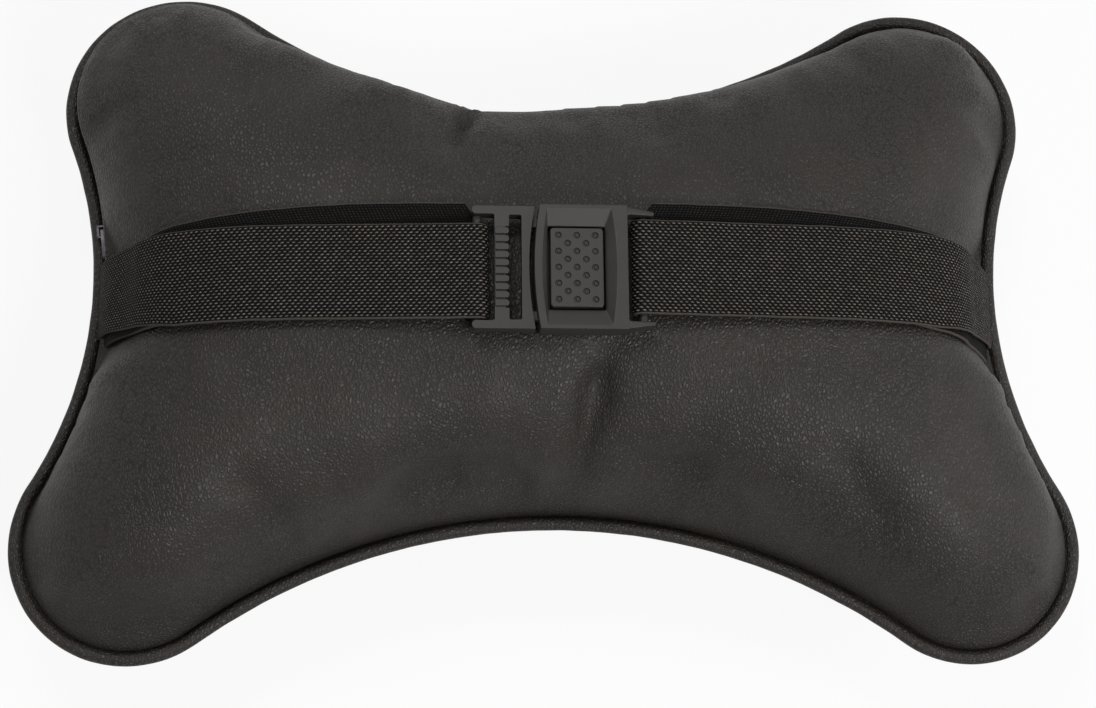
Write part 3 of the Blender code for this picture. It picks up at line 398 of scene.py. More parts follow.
# Where the strap's ends hold the cover in, and where the strap and the table press on it
STRAP_DRAW = 3.0 * mm
STRAP_DRAW_TOP = 70 * mm
STRAP_DRAW_FALL = 18 * mm
STRAP_DRAW_SHARE = 0.85
STRAP_HOLD = 9 * mm
STRAP_HOLD_FALL = 15 * mm
STRAP_END_X = 80 * mm
STRAP_END_FALL = 25 * mm
STRAP_PRESS = 14 * mm
STRAP_PRESS_FALL = 7 * mm
TABLE_PRESS_FALL = 6 * mm

ZIP_START_Y = 24.5 * mm
ZIP_LENGTH = 85 * mm
ZIP_OPENING = 7.4 * mm
ZIP_FADE = 17 * mm
SEAM_PATH_STEP = 0.5 * mm
OPENING_STEP = 4 * mm


def quad_grid():
    """Points spread evenly between the four sides of the panels' rim."""
    arcs = outline_arcs()
    low = run_points(arcs["bottom"], RIM_INSET, count=COLUMNS)
    right = run_points(arcs["right"], RIM_INSET, count=ROWS)
    high = run_points(arcs["top"], RIM_INSET, count=COLUMNS)[::-1]
    left = run_points(arcs["left"], RIM_INSET, count=ROWS)[::-1]
    grid = np.zeros((COLUMNS + 1, ROWS + 1, 2))
    for i in range(COLUMNS + 1):
        for j in range(ROWS + 1):
            u, v = i / COLUMNS, j / ROWS
            edges = low[i] * (1 - v) + high[i] * v + left[j] * (1 - u) + right[j] * u
            corners = (low[0] * (1 - u) * (1 - v) + low[-1] * u * (1 - v)
                       + high[0] * (1 - u) * v + high[-1] * u * v)
            grid[i, j] = edges - corners
    return grid


def inflated(grid):
    """Share of the crown height at each point: the shape of a sheet held at its edge and blown up."""
    inside = [(i, j) for i in range(1, COLUMNS) for j in range(1, ROWS)]
    index = {cell: row for row, cell in enumerate(inside)}
    matrix = np.zeros((len(index), len(index)))
    load = np.zeros(len(index))
    for (i, j), row in index.items():
        span_i = (grid[i + 1, j] - grid[i - 1, j]) / 2
        span_j = (grid[i, j + 1] - grid[i, j - 1]) / 2
        load[row] = abs(span_i[0] * span_j[1] - span_i[1] * span_j[0])
        for di, dj, across in ((1, 0, span_j), (-1, 0, span_j), (0, 1, span_i), (0, -1, span_i)):
            weight = np.linalg.norm(across) / np.linalg.norm(grid[i + di, j + dj] - grid[i, j])
            matrix[row, row] += weight
            if (i + di, j + dj) in index:
                matrix[row, index[i + di, j + dj]] -= weight
    level = np.linalg.solve(matrix, load)
    share = np.zeros((COLUMNS + 1, ROWS + 1))
    for (i, j), row in index.items():
        share[i, j] = (level[row] / level.max()) ** FULLNESS
    return share


def left_seam_run(inset, start_y, length, step):
    """Points along the left seam from a height upwards and round the upper lobe."""
    arcs = outline_arcs()
    path = [point for side in ("left", "top")
            for point in run_points(arcs[side], inset, SEAM_PATH_STEP)[::-1]]
    first = next(k for k in range(1, len(path)) if path[k].y >= start_y > path[k - 1].y)
    share = (start_y - path[first - 1].y) / (path[first].y - path[first - 1].y)
    points = [path[first - 1].lerp(path[first], share)]
    done = 0.0
    for point in path[first:]:
        gap = (point - points[-1]).length
        if done + gap >= length:
            points.append(points[-1].lerp(point, (length - done) / gap))
            break
        if gap >= step:
            done += gap
            points.append(point)
    return points


seam_near_zip = left_seam_run(RIM_INSET, ZIP_START_Y, ZIP_LENGTH, OPENING_STEP)


def zip_rise(x, y):
    """How far the rear panel's edge stands up to leave room for the zip."""
    away = min((point - Vector((x, y))).length for point in seam_near_zip)
    return ZIP_OPENING * min(max(2 - away / ZIP_FADE, 0.0), 1.0)


def rear_height(y, share):
    strap = STRAP_DIP * math.exp(-((y - STRAP_LINE_Y) / STRAP_DIP_WIDTH) ** 2)
    return SEAM_HEIGHT + SEAM_LIP + REAR_CROWN * share - strap * share


def front_height(y, share):
    return max(SEAM_HEIGHT - SEAM_LIP - FRONT_CROWN * share, 0.0)


panel_grid = quad_grid()
panel_share = inflated(panel_grid)


def panel_cage(name, sign, height):
    """Smooth stuffed sheet over the outline, with an upright hem at its edge."""
    step = ROWS + 1
    loop = ([i * step for i in range(COLUMNS)] + [COLUMNS * step + j for j in range(ROWS)]
            + [i * step + ROWS for i in range(COLUMNS, 0, -1)] + [j for j in range(ROWS, 0, -1)])
    points = [[x, y, height(y, share)]
              for column, shares in zip(panel_grid, panel_share) for (x, y), share in zip(column, shares)]
    faces = []
    for i in range(COLUMNS):
        for j in range(ROWS):
            a = i * step + j
            faces.append((a, a + step, a + step + 1, a + 1))
    first = len(points)
    for number in loop:
        x, y, z = points[number]
        if sign > 0:
            z += zip_rise(x, y)
        points.append([x, y, z])
        points[number][2] = z + sign * HEM_HEIGHT
    for k, number in enumerate(loop):
        after = (k + 1) % len(loop)
        faces.append((first + k, first + after, loop[after], number))
    if sign < 0:
        faces = [face[::-1] for face in faces]
    cage = mesh_piece(name, points, faces)
    rounding = cage.modifiers.new("rounding", "SUBSURF")
    rounding.levels = rounding.render_levels = CAGE_LEVELS
    bpy.context.view_layer.update()
    smooth = bpy.data.meshes.new_from_object(cage.evaluated_get(bpy.context.evaluated_depsgraph_get()))
    bpy.data.objects.remove(cage)
    smooth.name = name
    return smooth


seam_line = whole_outline(PIPING_DIAMETER + SEAM_GAP, SEAM_STEP)
seam_tree = KDTree(len(seam_line))
for number, point in enumerate(seam_line):
    seam_tree.insert((point.x, point.y, 0), number)
seam_tree.balance()


def drawn_to_seam(mesh):
    """Brings a panel's edge right onto the seam, and the cloth beside it along."""
    shape = bmesh.new()
    shape.from_mesh(mesh)
    edge = [vert for vert in shape.verts if vert.is_boundary]
    edge_tree = KDTree(len(edge))
    moves = []
    for number, vert in enumerate(edge):
        edge_tree.insert(vert.co, number)
        target = seam_line[seam_tree.find((vert.co.x, vert.co.y, 0))[1]]
        moves.append(Vector((target.x - vert.co.x, target.y - vert.co.y, 0)))
    edge_tree.balance()
    for vert in shape.verts:
        near, number, away = edge_tree.find(vert.co)
        vert.co += moves[number] * math.exp(-(away / SEAM_EASE) ** 2)
    shape.to_mesh(mesh)
    shape.free()


def eased(share):
    """A share held between 0 and 1 and smoothed at both ends."""
    share = min(max(share, 0.0), 1.0)
    return share * share * (3 - 2 * share)


def strap_draw(x, z):
    """How far the strap's ends pull the pillow's side in at a reach and a height."""
    ends = eased((abs(x) - STRAP_END_X) / STRAP_END_FALL)
    return STRAP_DRAW * ends * eased((STRAP_DRAW_TOP - z) / STRAP_DRAW_FALL)


def overhung(mesh, sign):
    """Lets the stuffing push a panel's side out over the seam, except where the strap's ends hold it in."""
    for vert in mesh.vertices:
        x, y, z = vert.co
        near, number, away = seam_tree.find((x, y, 0))
        rise = zip_rise(x, y) if sign > 0 and away < ZIP_FADE else 0.0
        height = sign * (z - SEAM_HEIGHT) - SEAM_LIP - rise - HEM_HEIGHT
        lift = math.sin(math.pi * min(max(height / OVERHANG_HEIGHT, 0.0), 1.0))
        fade = max(1 - away / OVERHANG_REACH, 0.0) ** 0.7
        out = Vector((near.x - x, near.y - y))
        if out.length > ON_SEAM:
            out.normalize()
            bulge = (OVERHANG_LOW + (OVERHANG_HIGH - OVERHANG_LOW) * max(out.y, 0.0)
                     + (OVERHANG_SIDE - OVERHANG_LOW) * abs(out.x)) * lift * fade
            held = 0.0
            if sign > 0 and abs(x) > STRAP_END_X:
                held = eased(1 - (abs(y - STRAP_LINE_Y) - STRAP_HOLD) / STRAP_HOLD_FALL)
            vert.co.xy += out * bulge * (1 - held)
            vert.co.x -= math.copysign(strap_draw(x, z) * STRAP_DRAW_SHARE * held, x)


def fold_depth(x, y):
    """Depth of the sewn-in folds at a point, soft on both sides."""
    depth = 0.0
    for start, end, deep, wide in FOLDS:
        a = Vector((start[0] * WIDTH / 2, start[1] * HEIGHT / 2))
        b = Vector((end[0] * WIDTH / 2, end[1] * HEIGHT / 2))
        run = b - a
        share = min(max((Vector((x, y)) - a).dot(run) / run.length_squared, 0.0), 1.0)
        away = (Vector((x, y)) - a - run * share).length
        swing = noise.noise(Vector((x, y, 0)) * (1 / FOLD_WAVER_SIZE)) * FOLD_WAVER
        ends = 1 - 0.6 * (2 * share - 1) ** 4
        depth += deep * ends / (1 + (max(away + swing, 0.0) / wide * 1.6) ** 2) ** 1.5
    return depth


def creased(mesh, sign, held):
    """Moves a panel's points along their normals: lumps of filling, puckers along the seam, and folds."""
    mesh.update()
    places = [v.co.copy() for v in mesh.vertices]
    normals = [v.normal.copy() for v in mesh.vertices]
    for vert, place, normal in zip(mesh.vertices, places, normals):
        near, number, away = seam_tree.find((place.x, place.y, 0))
        along = number * SEAM_STEP
        free = 1 - held(place)
        rim = min(away / STILL_RIM, 1.0)
        ripple = noise.noise(Vector((along / PUCKER_PITCH, sign * 3.0, 0.0)))
        ripple += 0.45 * noise.noise(Vector((along / PUCKER_PITCH * 2.3, sign * 7.0, 2.0)))
        pucker = PUCKER_DEPTH * ripple * rim * math.exp(-(away / PUCKER_REACH) ** 2)
        lump = LUMP_DEPTH * noise.noise(place * (1 / LUMP_SIZE) + Vector((0, 0, sign * 5.0)))
        lump += 0.35 * LUMP_DEPTH * noise.noise(place * (2.4 / LUMP_SIZE) + Vector((9, 0, 0)))
        fold = fold_depth(place.x, place.y) if sign > 0 else 0.0
        vert.co = place + normal * ((pucker + lump * rim - LUMP_DEPTH * 0.4 * rim) * free - fold * rim)
    mesh.update()


def under_strap(place):
    """1 where the strap and the buckle hold the panel down, fading to 0 beside them."""
    beside = max(abs(place.y - STRAP_LINE_Y) - STRAP_PRESS, 0.0) / STRAP_PRESS_FALL
    return max(1 - beside, 0.0)


def on_table(place):
    """1 on the table, fading to 0 above it."""
    return max(1 - place.z / TABLE_PRESS_FALL, 0.0)


def build_panel(name, node, sign, height, held):
    """One cover panel: sign is 1 on the strap side and -1 on the head side."""
    mesh = panel_cage(name, sign, height)
    drawn_to_seam(mesh)
    overhung(mesh, sign)
    creased(mesh, sign, held)
    for vert in mesh.vertices:
        vert.co.z = max(vert.co.z, 0.0)
    piece = new_object(name, mesh)
    mesh.materials.clear()
    mesh.materials.append(leatherette)
    mesh.shade_smooth()
    wall = piece.modifiers.new("leatherette_wall", "SOLIDIFY")
    wall.thickness = PANEL_THICKNESS
    wall.offset = -1
    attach(piece, "pillow")
    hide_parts(node)


build_panel("rear_cover", "rear_panel", 1, rear_height, under_strap)
build_panel("front_cover", "front_panel", -1, front_height, on_table)

# Inner pillow
# Polyester fibre in a sewn off-white liner, one soft piece that fills the cover and shows only at the zip.
liner_cloth, tree, shader = new_material("nonwoven_liner")
place = add_node(tree, "ShaderNodeTexCoord").outputs["Object"]
fibres = noise_texture(tree, place, 0.8 * mm, 5.0)
tree.links.new(blended(tree, fibres, "#d2cfc8", "#eceae4"), shader.inputs["Base Color"])
tree.links.new(bumped(tree, fibres, 0.6, 0.1 * mm), shader.inputs["Normal"])
shader.inputs["Roughness"].default_value = 0.9

# Drawn in from its CAD solid, so that the panels' folds stay clear of it
LINER_INSET = 3.0 * mm

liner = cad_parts["inner_pillow"].data.copy()
shape = bmesh.new()
shape.from_mesh(liner)
bmesh.ops.remove_doubles(shape, verts=shape.verts, dist=0.01 * mm)
for vert in shape.verts:
    vert.co -= vert.normal * LINER_INSET
shape.to_mesh(liner)
shape.free()
liner.materials.clear()
liner.materials.append(liner_cloth)
liner.shade_smooth()
stuffing = new_object("fibre_filling", liner)
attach(stuffing, "pillow")
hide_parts("inner_pillow")

# Piping
# A cord covered with a strip of the same leatherette, sewn into the seam all round. The strip wavers a little
# in thickness, and its seam allowance runs in between the panels.
PIPING_STEP = 1.2 * mm
PIPING_WAVER = 0.045
PIPING_WAVER_SIZE = 5 * mm
FLANGE_THICKNESS = 0.8 * mm
FLANGE_REACH = 1.8 * mm
PIPING_SIDES = 16


def tube_faces(count, sides, closed=False):
    """Faces between rings of points, each ring joined to the next."""
    faces = []
    for ring in range(count if closed else count - 1):
        a, b = ring * sides, (ring + 1) % count * sides
        for side in range(sides):
            after = (side + 1) % sides
            faces.append((a + side, b + side, b + after, a + after))
    return faces


def turned_outward(mesh):
    """All faces of a closed mesh turned outward."""
    shape = bmesh.new()
    shape.from_mesh(mesh)
    bmesh.ops.recalc_face_normals(shape, faces=shape.faces)
    shape.to_mesh(mesh)
    shape.free()


piping_line = whole_outline(PIPING_DIAMETER / 2, PIPING_STEP)
rings = []
for number, point in enumerate(piping_line):
    after = piping_line[(number + 1) % len(piping_line)]
    before = piping_line[number - 1]
    run = (after - before).normalized()
    out = Vector((run.y, -run.x, 0.0))
    swell = 0.975 + PIPING_WAVER * noise.noise(Vector((point.x, point.y, 0)) * (1 / PIPING_WAVER_SIZE))
    radius = PIPING_DIAMETER / 2 * swell
    half = FLANGE_THICKNESS / 2
    start = math.asin(half / radius)
    ring = []
    for k in range(PIPING_SIDES + 1):
        angle = math.pi - start - (2 * math.pi - 2 * start) * k / PIPING_SIDES
        ring.append((radius * math.cos(angle), radius * math.sin(angle)))
    ring += [(-radius - FLANGE_REACH, -half), (-radius - FLANGE_REACH, half)]
    rings.append([Vector((point.x, point.y, SEAM_HEIGHT + up)) + out * away for away, up in ring])
points = [point for ring in rings for point in ring]
piping = mesh_piece("piping_cord", points, tube_faces(len(rings), len(rings[0]), closed=True), leatherette)
turned_outward(piping.data)
piping.data.shade_smooth()
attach(piping, "pillow")
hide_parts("piping")

# Elastic strap
# Black woven elastic, 25 mm wide, folded double round the bar of each buckle half with both ends sewn into
# the side seam. The plies are stretched taut over the filling.
STRAP_WIDTH = 25 * mm
STRAP_THICKNESS = 1.3 * mm
UNDER_PLY_WIDTH = 26.5 * mm
UNDER_PLY_SKEW = 3.0 * mm
UNDER_PLY_NEAR = {-1: 5.9 * mm, 1: 5.0 * mm}
UNDER_PLY_FAR = {-1: -5.7 * mm, 1: -7.6 * mm}
UNDER_PLY_TURN = 2.5 * mm
STRAP_SLANT = 0.8 * mm
STRAP_END_WIDTH = 20.5 * mm
STRAP_END_RISE = 1.2 * mm
STRAP_GATHER_REACH = 24 * mm
CLEARANCE = 0.3 * mm
BAR_DIAMETER = 2.4 * mm
BAR_RISE = 2.9 * mm
TONGUE_BAR_X = -22.8 * mm
SOCKET_BAR_X = 19.4 * mm
STRAP_STEP = 1.5 * mm
BEND_STEPS = 12
EDGE_WAVER = 0.12 * mm
EDGE_WAVER_SIZE = 6 * mm
ROW_PITCH = 0.80 * mm
STITCH_PITCH = 1.45 * mm
BACK_ROW_PITCH = 0.62 * mm
BACK_STITCH_PITCH = 0.9 * mm
LOOP_LEAN = 0.3
LOOP_SHARPNESS = 4.0
SELVEDGE_START = STRAP_WIDTH / 2 - 0.5 * mm
SELVEDGE_END = STRAP_WIDTH / 2 - 0.35 * mm

# The webbing's section in shares of its half width and half thickness, with a thicker selvedge at both edges
STRAP_SECTION = [(-1.0, 0.0), (-0.985, 0.8), (-0.93, 1.0), (-0.5, 0.95), (0.0, 0.95), (0.5, 0.95),
                 (0.93, 1.0), (0.985, 0.8), (1.0, 0.0), (0.985, -0.8), (0.93, -1.0), (0.0, -0.95),
                 (-0.93, -1.0), (-0.985, -0.8)]

# How finely the panel under a strap is felt out: across the strap, round its side and over its top
CROWN_SAMPLES = 6
CROWN_RAYS = 24
CROWN_STEPS = 16


def woven_elastic(name, along_pitch, across_pitch, slant, glint_colour):
    """Knitted-in rubber rows with yarn loops over them in staggered dots, the loops' crowns lit by painted
    highlights.
    """
    made, tree, shader = new_material(name)
    uv = add_node(tree, "ShaderNodeUVMap", uv_map="cloth").outputs[0]
    axes = add_node(tree, "ShaderNodeSeparateXYZ", {0: uv}).outputs
    row = maths(tree, "DIVIDE", axes[1], across_pitch)
    row_number = maths(tree, "FLOOR", row)
    lane = maths(tree, "SUBTRACT", row, row_number)
    along = maths(tree, "DIVIDE", axes[0], along_pitch)
    step = maths(tree, "MULTIPLY_ADD", row_number, slant, along)
    lean = maths(tree, "MULTIPLY_ADD", lane, LOOP_LEAN, step)
    loop_place = add_node(tree, "ShaderNodeCombineXYZ", {0: maths(tree, "FLOOR", lean), 1: row_number})
    chance = add_node(tree, "ShaderNodeTexWhiteNoise", {"Vector": loop_place.outputs[0]}).outputs["Value"]
    shine = remapped(tree, chance, (0.0, 1.0), (0.55, 1.0))
    lane_dome = maths(tree, "SINE", maths(tree, "MULTIPLY", lane, math.pi))
    loop_dome = maths(tree, "SINE", maths(tree, "MULTIPLY", maths(tree, "FRACT", lean), math.pi))
    loop = maths(tree, "POWER", maths(tree, "MULTIPLY", lane_dome, loop_dome), LOOP_SHARPNESS)
    selvedge = remapped(tree, maths(tree, "ABSOLUTE", axes[1]), (SELVEDGE_START, SELVEDGE_END), (0.0, 1.0))
    body = maths(tree, "MULTIPLY_ADD", noise_texture(tree, uv, 0.25 * mm, 2.0), 0.3, loop)
    height = add_node(tree, "ShaderNodeMix", {0: selvedge, 2: body, 3: 0.7}).outputs[0]
    # Painted highlight: each loop's crown is lightened towards the glint colour by a random strength per
    # loop, and the rows between stay near-black
    loop_glints = blended(tree, maths(tree, "MULTIPLY", loop, shine), "#040404", glint_colour)
    # Painted highlight: both selvedges are lightened to a warm grey, a lit edge painted into the colour
    tree.links.new(blended(tree, selvedge, loop_glints, "#4c4743"), shader.inputs["Base Color"])
    tree.links.new(bumped(tree, height, 1.0, 0.35 * mm), shader.inputs["Normal"])
    shader.inputs["Roughness"].default_value = 0.75
    shader.inputs["Specular IOR Level"].default_value = 0.06
    return made


# Outer face: loose staggered loops over dark rubber rows. Back face: a finer slanting weave
# The last colour of each is the painted highlight on the loops' crowns
elastic_face = woven_elastic("woven_elastic_face", STITCH_PITCH, ROW_PITCH, 0.5, "#a0968f")
elastic_back = woven_elastic("woven_elastic_back", BACK_STITCH_PITCH, BACK_ROW_PITCH, 0.33, "#4a4542")


def crown_line(tree, sign, low_y, high_y):
    """Upper outline of the stuffed panel under a strap, from its edge inwards: reach and height pairs."""
    samples = [low_y + (high_y - low_y) * k / CROWN_SAMPLES for k in range(CROWN_SAMPLES + 1)]
    hub = WIDTH / 2 - RIM_INSET - REAR_CROWN
    seam = SEAM_HEIGHT + SEAM_LIP
    line = []
    for k in range(CROWN_RAYS + 1):
        angle = math.radians(3 + 87 * k / CROWN_RAYS)
        ray = Vector((sign * math.cos(angle), 0.0, math.sin(angle)))
        reach = 0.0
        for y in samples:
            centre = Vector((sign * hub, y, seam))
            hit = tree.ray_cast(centre + ray * WIDTH, -ray)[0]
            if hit is not None:
                reach = max(reach, (hit - centre).length)
        if reach > 0:
            line.append((hub + reach * math.cos(angle), seam + reach * math.sin(angle)))
    for k in range(1, CROWN_STEPS + 1):
        x = hub * (1 - k / CROWN_STEPS)
        hits = [tree.ray_cast(Vector((sign * x, y, WIDTH)), Vector((0, 0, -1)))[0] for y in samples]
        line.append((x, max(hit.z for hit in hits if hit is not None)))
    return line


def taut(line):
    """The stretched path over a run of points, from the outer edge inwards."""
    path = []
    for point in line:
        while len(path) > 1:
            (ax, az), (bx, bz) = path[-2], path[-1]
            if (bx - ax) * (point[1] - az) - (bz - az) * (point[0] - ax) > 0:
                break
            path.pop()
        path.append(point)
    return path


def offset_line(path, distance):
    """The path moved outward by a distance."""
    moved = []
    for k, (x, z) in enumerate(path):
        before, after = path[max(k - 1, 0)], path[min(k + 1, len(path) - 1)]
        run = Vector((after[0] - before[0], after[1] - before[1])).normalized()
        moved.append((x + run.y * distance, z - run.x * distance))
    return moved


def even_steps(path, step):
    """The same path with evenly spaced points, its corners eased."""
    lengths = [math.dist(a, b) for a, b in zip(path, path[1:])]
    total = sum(lengths)
    count = max(round(total / step), 2)
    points = []
    for k in range(count + 1):
        left = total * k / count
        for (a, b), length in zip(zip(path, path[1:]), lengths):
            if left <= length or b is path[-1]:
                share = min(left / length, 1.0)
                points.append((a[0] + (b[0] - a[0]) * share, a[1] + (b[1] - a[1]) * share))
                break
            left -= length
    for _ in range(4):
        inner = [((a[0] + 2 * b[0] + c[0]) / 4, (a[1] + 2 * b[1] + c[1]) / 4)
                 for a, b, c in zip(points, points[1:], points[2:])]
        points = [points[0], *inner, points[-1]]
    return points


panel_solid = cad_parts["rear_panel"].data
panel_tree = BVHTree.FromPolygons([vert.co for vert in panel_solid.vertices],
                                  [tuple(face.vertices) for face in panel_solid.polygons])
buckle_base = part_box("buckle_socket")[0][2]
bar_level = buckle_base + BAR_RISE
strap_turn = BAR_DIAMETER / 2 + CLEARANCE + STRAP_THICKNESS / 2


def ply_run(sign, bar_reach, layer):
    """One ply of a strap, from the seam to its turn at the buckle's bar."""
    wide = max(STRAP_WIDTH / 2, UNDER_PLY_WIDTH / 2 + UNDER_PLY_SKEW)
    line = taut(crown_line(panel_tree, sign, STRAP_LINE_Y - wide, STRAP_LINE_Y + wide))
    path = offset_line(line, CLEARANCE + STRAP_THICKNESS / 2 + layer * (CLEARANCE + STRAP_THICKNESS))
    floor = SEAM_HEIGHT + PIPING_DIAMETER / 2 + CLEARANCE
    kept = [p for p in path if p[0] > bar_reach and p[1] > floor]
    kept.insert(0, (kept[0][0], floor))
    end = (bar_reach, bar_level + (strap_turn if layer else -strap_turn))
    return even_steps(taut(kept + [end]) if layer else kept + [end], STRAP_STEP)


def lay_cloth(mesh, places):
    """Lays the weave out along the cloth, by a place for each vertex."""
    layer = mesh.uv_layers.new(name="cloth")
    for loop in mesh.loops:
        layer.data[loop.index].uv = places[loop.vertex_index]


def build_strap(name, node, sign, bar_reach):
    """One strap from the side seam round the buckle's bar and back: sign is 1 on the right side."""
    under = ply_run(sign, bar_reach, 0)
    upper = ply_run(sign, bar_reach, 1)
    bend = []
    for k in range(1, BEND_STEPS):
        angle = -math.pi / 2 - math.pi * k / BEND_STEPS
        bend.append((bar_reach + strap_turn * math.cos(angle), bar_level + strap_turn * math.sin(angle)))
    run = under + bend + upper[::-1]
    half = STRAP_THICKNESS / 2
    points, cloth_places = [], []
    done = 0.0
    for k, (x, z) in enumerate(run):
        before, after = run[max(k - 1, 0)], run[min(k + 1, len(run) - 1)]
        ahead = Vector((after[0] - before[0], after[1] - before[1])).normalized()
        normal = Vector((ahead.y, -ahead.x))
        lower_ply = k < len(under)
        ramp = min(max((x - bar_reach) / (WIDTH / 2 - bar_reach), 0.0), 1.0) if lower_ply else 0.0
        near = eased((x - bar_reach) / UNDER_PLY_TURN) if lower_ply else 0.0
        gather = min(max(1 - (run[0][0] - x) / STRAP_GATHER_REACH, 0.0), 1.0)
        start, end = UNDER_PLY_NEAR[sign], UNDER_PLY_FAR[sign]
        middle = start * near + (end - start) * ramp ** 2.2
        middle += STRAP_LINE_Y + STRAP_END_RISE * gather + STRAP_SLANT * sign * (1 - gather)
        wide = STRAP_WIDTH + (UNDER_PLY_WIDTH - STRAP_WIDTH) * near + (STRAP_END_WIDTH - STRAP_WIDTH) * gather
        drawn = x - strap_draw(x, z)
        for across, up in STRAP_SECTION:
            waver = EDGE_WAVER * noise.noise(Vector((done / EDGE_WAVER_SIZE, across * 3, sign)))
            points.append((sign * (drawn + normal.x * up * half), middle + across * wide / 2 + waver,
                           z + normal.y * up * half))
            cloth_places.append((done, across * STRAP_WIDTH / 2))
        if k + 1 < len(run):
            done += math.dist(run[k], run[k + 1])
    sides = len(STRAP_SECTION)
    faces = [tuple(range(sides)), *tube_faces(len(run), sides),
             tuple(range(len(points) - sides, len(points)))[::-1]]
    strap = mesh_piece(name, points, faces, elastic_face, elastic_back)
    mesh = strap.data
    lay_cloth(mesh, cloth_places)
    back_face_count = len(under) * sides
    for face in mesh.polygons:
        face.material_index = 1 if face.index < back_face_count else 0
    turned_outward(mesh)
    mesh.shade_smooth()
    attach(strap, "pillow")
    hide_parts(node)


build_strap("woven_strap_left", "elastic_strap_left", -1, -TONGUE_BAR_X)
build_strap("woven_strap_right", "elastic_strap_right", 1, SOCKET_BAR_X)

# Moulded acetal
# Both buckle halves and the press plate are injection moulded in dark grey acetal with a fine spark-eroded
# texture, matt with a soft wide highlight on its rounded edges.
acetal, tree, shader = new_material("moulded_acetal")
place = add_node(tree, "ShaderNodeTexCoord").outputs["Object"]
texture = noise_texture(tree, place, 0.22 * mm, 3.0)
flow = noise_texture(tree, place, 6 * mm, 2.0)
tree.links.new(blended(tree, flow, "#1f1c1a", "#2a2724"), shader.inputs["Base Color"])
tree.links.new(remapped(tree, texture, (0.0, 1.0), (0.42, 0.58)), shader.inputs["Roughness"])
tree.links.new(bumped(tree, texture, 0.5, 0.03 * mm), shader.inputs["Normal"])
shader.inputs["IOR"].default_value = 1.48
shader.inputs["Specular IOR Level"].default_value = 0.38

# Buckle tongue
# The left half: two legs with a strap bar between them, the ladder bar with ten grip pads, the slot, and the
# bowed bar that butts against the socket. Two snap arms run into the socket.
BUCKLE_Y = 3.4 * mm
BUCKLE_WIDTH = 32.1 * mm
BUCKLE_HEIGHT = 7.4 * mm
LEG_THICKNESS = 2.1 * mm
LEG_HEIGHT = 4.1 * mm
LEG_LIFT = 0.2 * mm
LADDER_X = -18.6 * mm
LADDER_WIDTH = 3.7 * mm
SLOT_WIDTH = 3.2 * mm
CURVED_BAR_WIDTH = 3.4 * mm
PAD_COUNT = 10
PAD_PITCH = 2.1 * mm
PAD_HEIGHT = 0.55 * mm
PAD_NOSE = 0.9 * mm
SOCKET_BOW = 1.5 * mm
PARTING = 1.2 * mm
ARM_INNER = 10.9 * mm
ARM_WIDTH = 2.6 * mm
ARM_RISE = 1.7 * mm
ARM_HEIGHT = 2.2 * mm
ARM_LENGTH = 6 * mm
ARM_ROOT = 1.0 * mm
EDGE_ROUNDING = 0.35 * mm
LEAST_ROUNDED_ANGLE = 32
FRAME_CORNER = 0.5 * mm
SLOT_MARGIN = 0.2 * mm
PAD_ROUNDING = 0.16 * mm
PAD_BACK = 0.1 * mm
CORNER_STEPS = 5
BOW_STEPS = 12


def rounded(corners):
    """Closed outline from corners given as x, y and fillet radius."""
    points = []
    for k, (x, y, radius) in enumerate(corners):
        here = Vector((x, y))
        if radius <= 0:
            points.append(here)
            continue
        before = (Vector(corners[k - 1][:2]) - here).normalized()
        after = (Vector(corners[(k + 1) % len(corners)][:2]) - here).normalized()
        half = before.angle(after) / 2
        start = here + before * (radius / math.tan(half))
        centre = here + (before + after).normalized() * (radius / math.sin(half))
        first = start - centre
        swing = first.angle_signed(here + after * (radius / math.tan(half)) - centre)
        for step in range(CORNER_STEPS + 1):
            turned = first.copy()
            turned.rotate(Matrix.Rotation(-swing * step / CORNER_STEPS, 2))
            points.append(centre + turned)
    return points


def stacked(rings):
    """A bmesh with the closed solid through rings of equal counts, the first and last one capped."""
    shape = bmesh.new()
    loops = [[shape.verts.new(point) for point in ring] for ring in rings]
    size = len(loops[0])
    for first, second in zip(loops, loops[1:]):
        for k in range(size):
            nxt = (k + 1) % size
            shape.faces.new((first[k], first[nxt], second[nxt], second[k]))
    shape.faces.new(loops[0][::-1])
    shape.faces.new(loops[-1])
    return shape


def extruded(outer, low, high, opening=None):
    """A bmesh with the solid of an outline between two heights, with an opening right through it."""
    shape = bmesh.new()
    lower = [shape.verts.new((x, y, low)) for x, y in outer]
    upper = [shape.verts.new((x, y, high)) for x, y in outer]
    count = len(outer)
    for k in range(count):
        shape.faces.new((lower[k], lower[(k + 1) % count], upper[(k + 1) % count], upper[k]))
    if not opening:
        shape.faces.new(upper)
        shape.faces.new(lower[::-1])
        return shape
    inner_high = [shape.verts.new((x, y, high)) for x, y in opening]
    inner_low = [shape.verts.new((x, y, low)) for x, y in opening]
    size = len(opening)
    for k in range(size):
        nxt = (k + 1) % size
        shape.faces.new((inner_high[k], inner_high[nxt], inner_low[nxt], inner_low[k]))
    for first, second in ((upper, inner_high), (lower, inner_low)):
        edges = []
        for loop in (first, second):
            for k in range(len(loop)):
                edges.append(shape.edges.get((loop[k], loop[(k + 1) % len(loop)])))
        bmesh.ops.triangle_fill(shape, use_beauty=True, edges=edges)
    return shape


def piece_of(name, shape, finish=acetal):
    """Turns a bmesh into a piece."""
    mesh = bpy.data.meshes.new(name)
    shape.to_mesh(mesh)
    shape.free()
    mesh.materials.append(finish)
    return new_object(name, mesh)


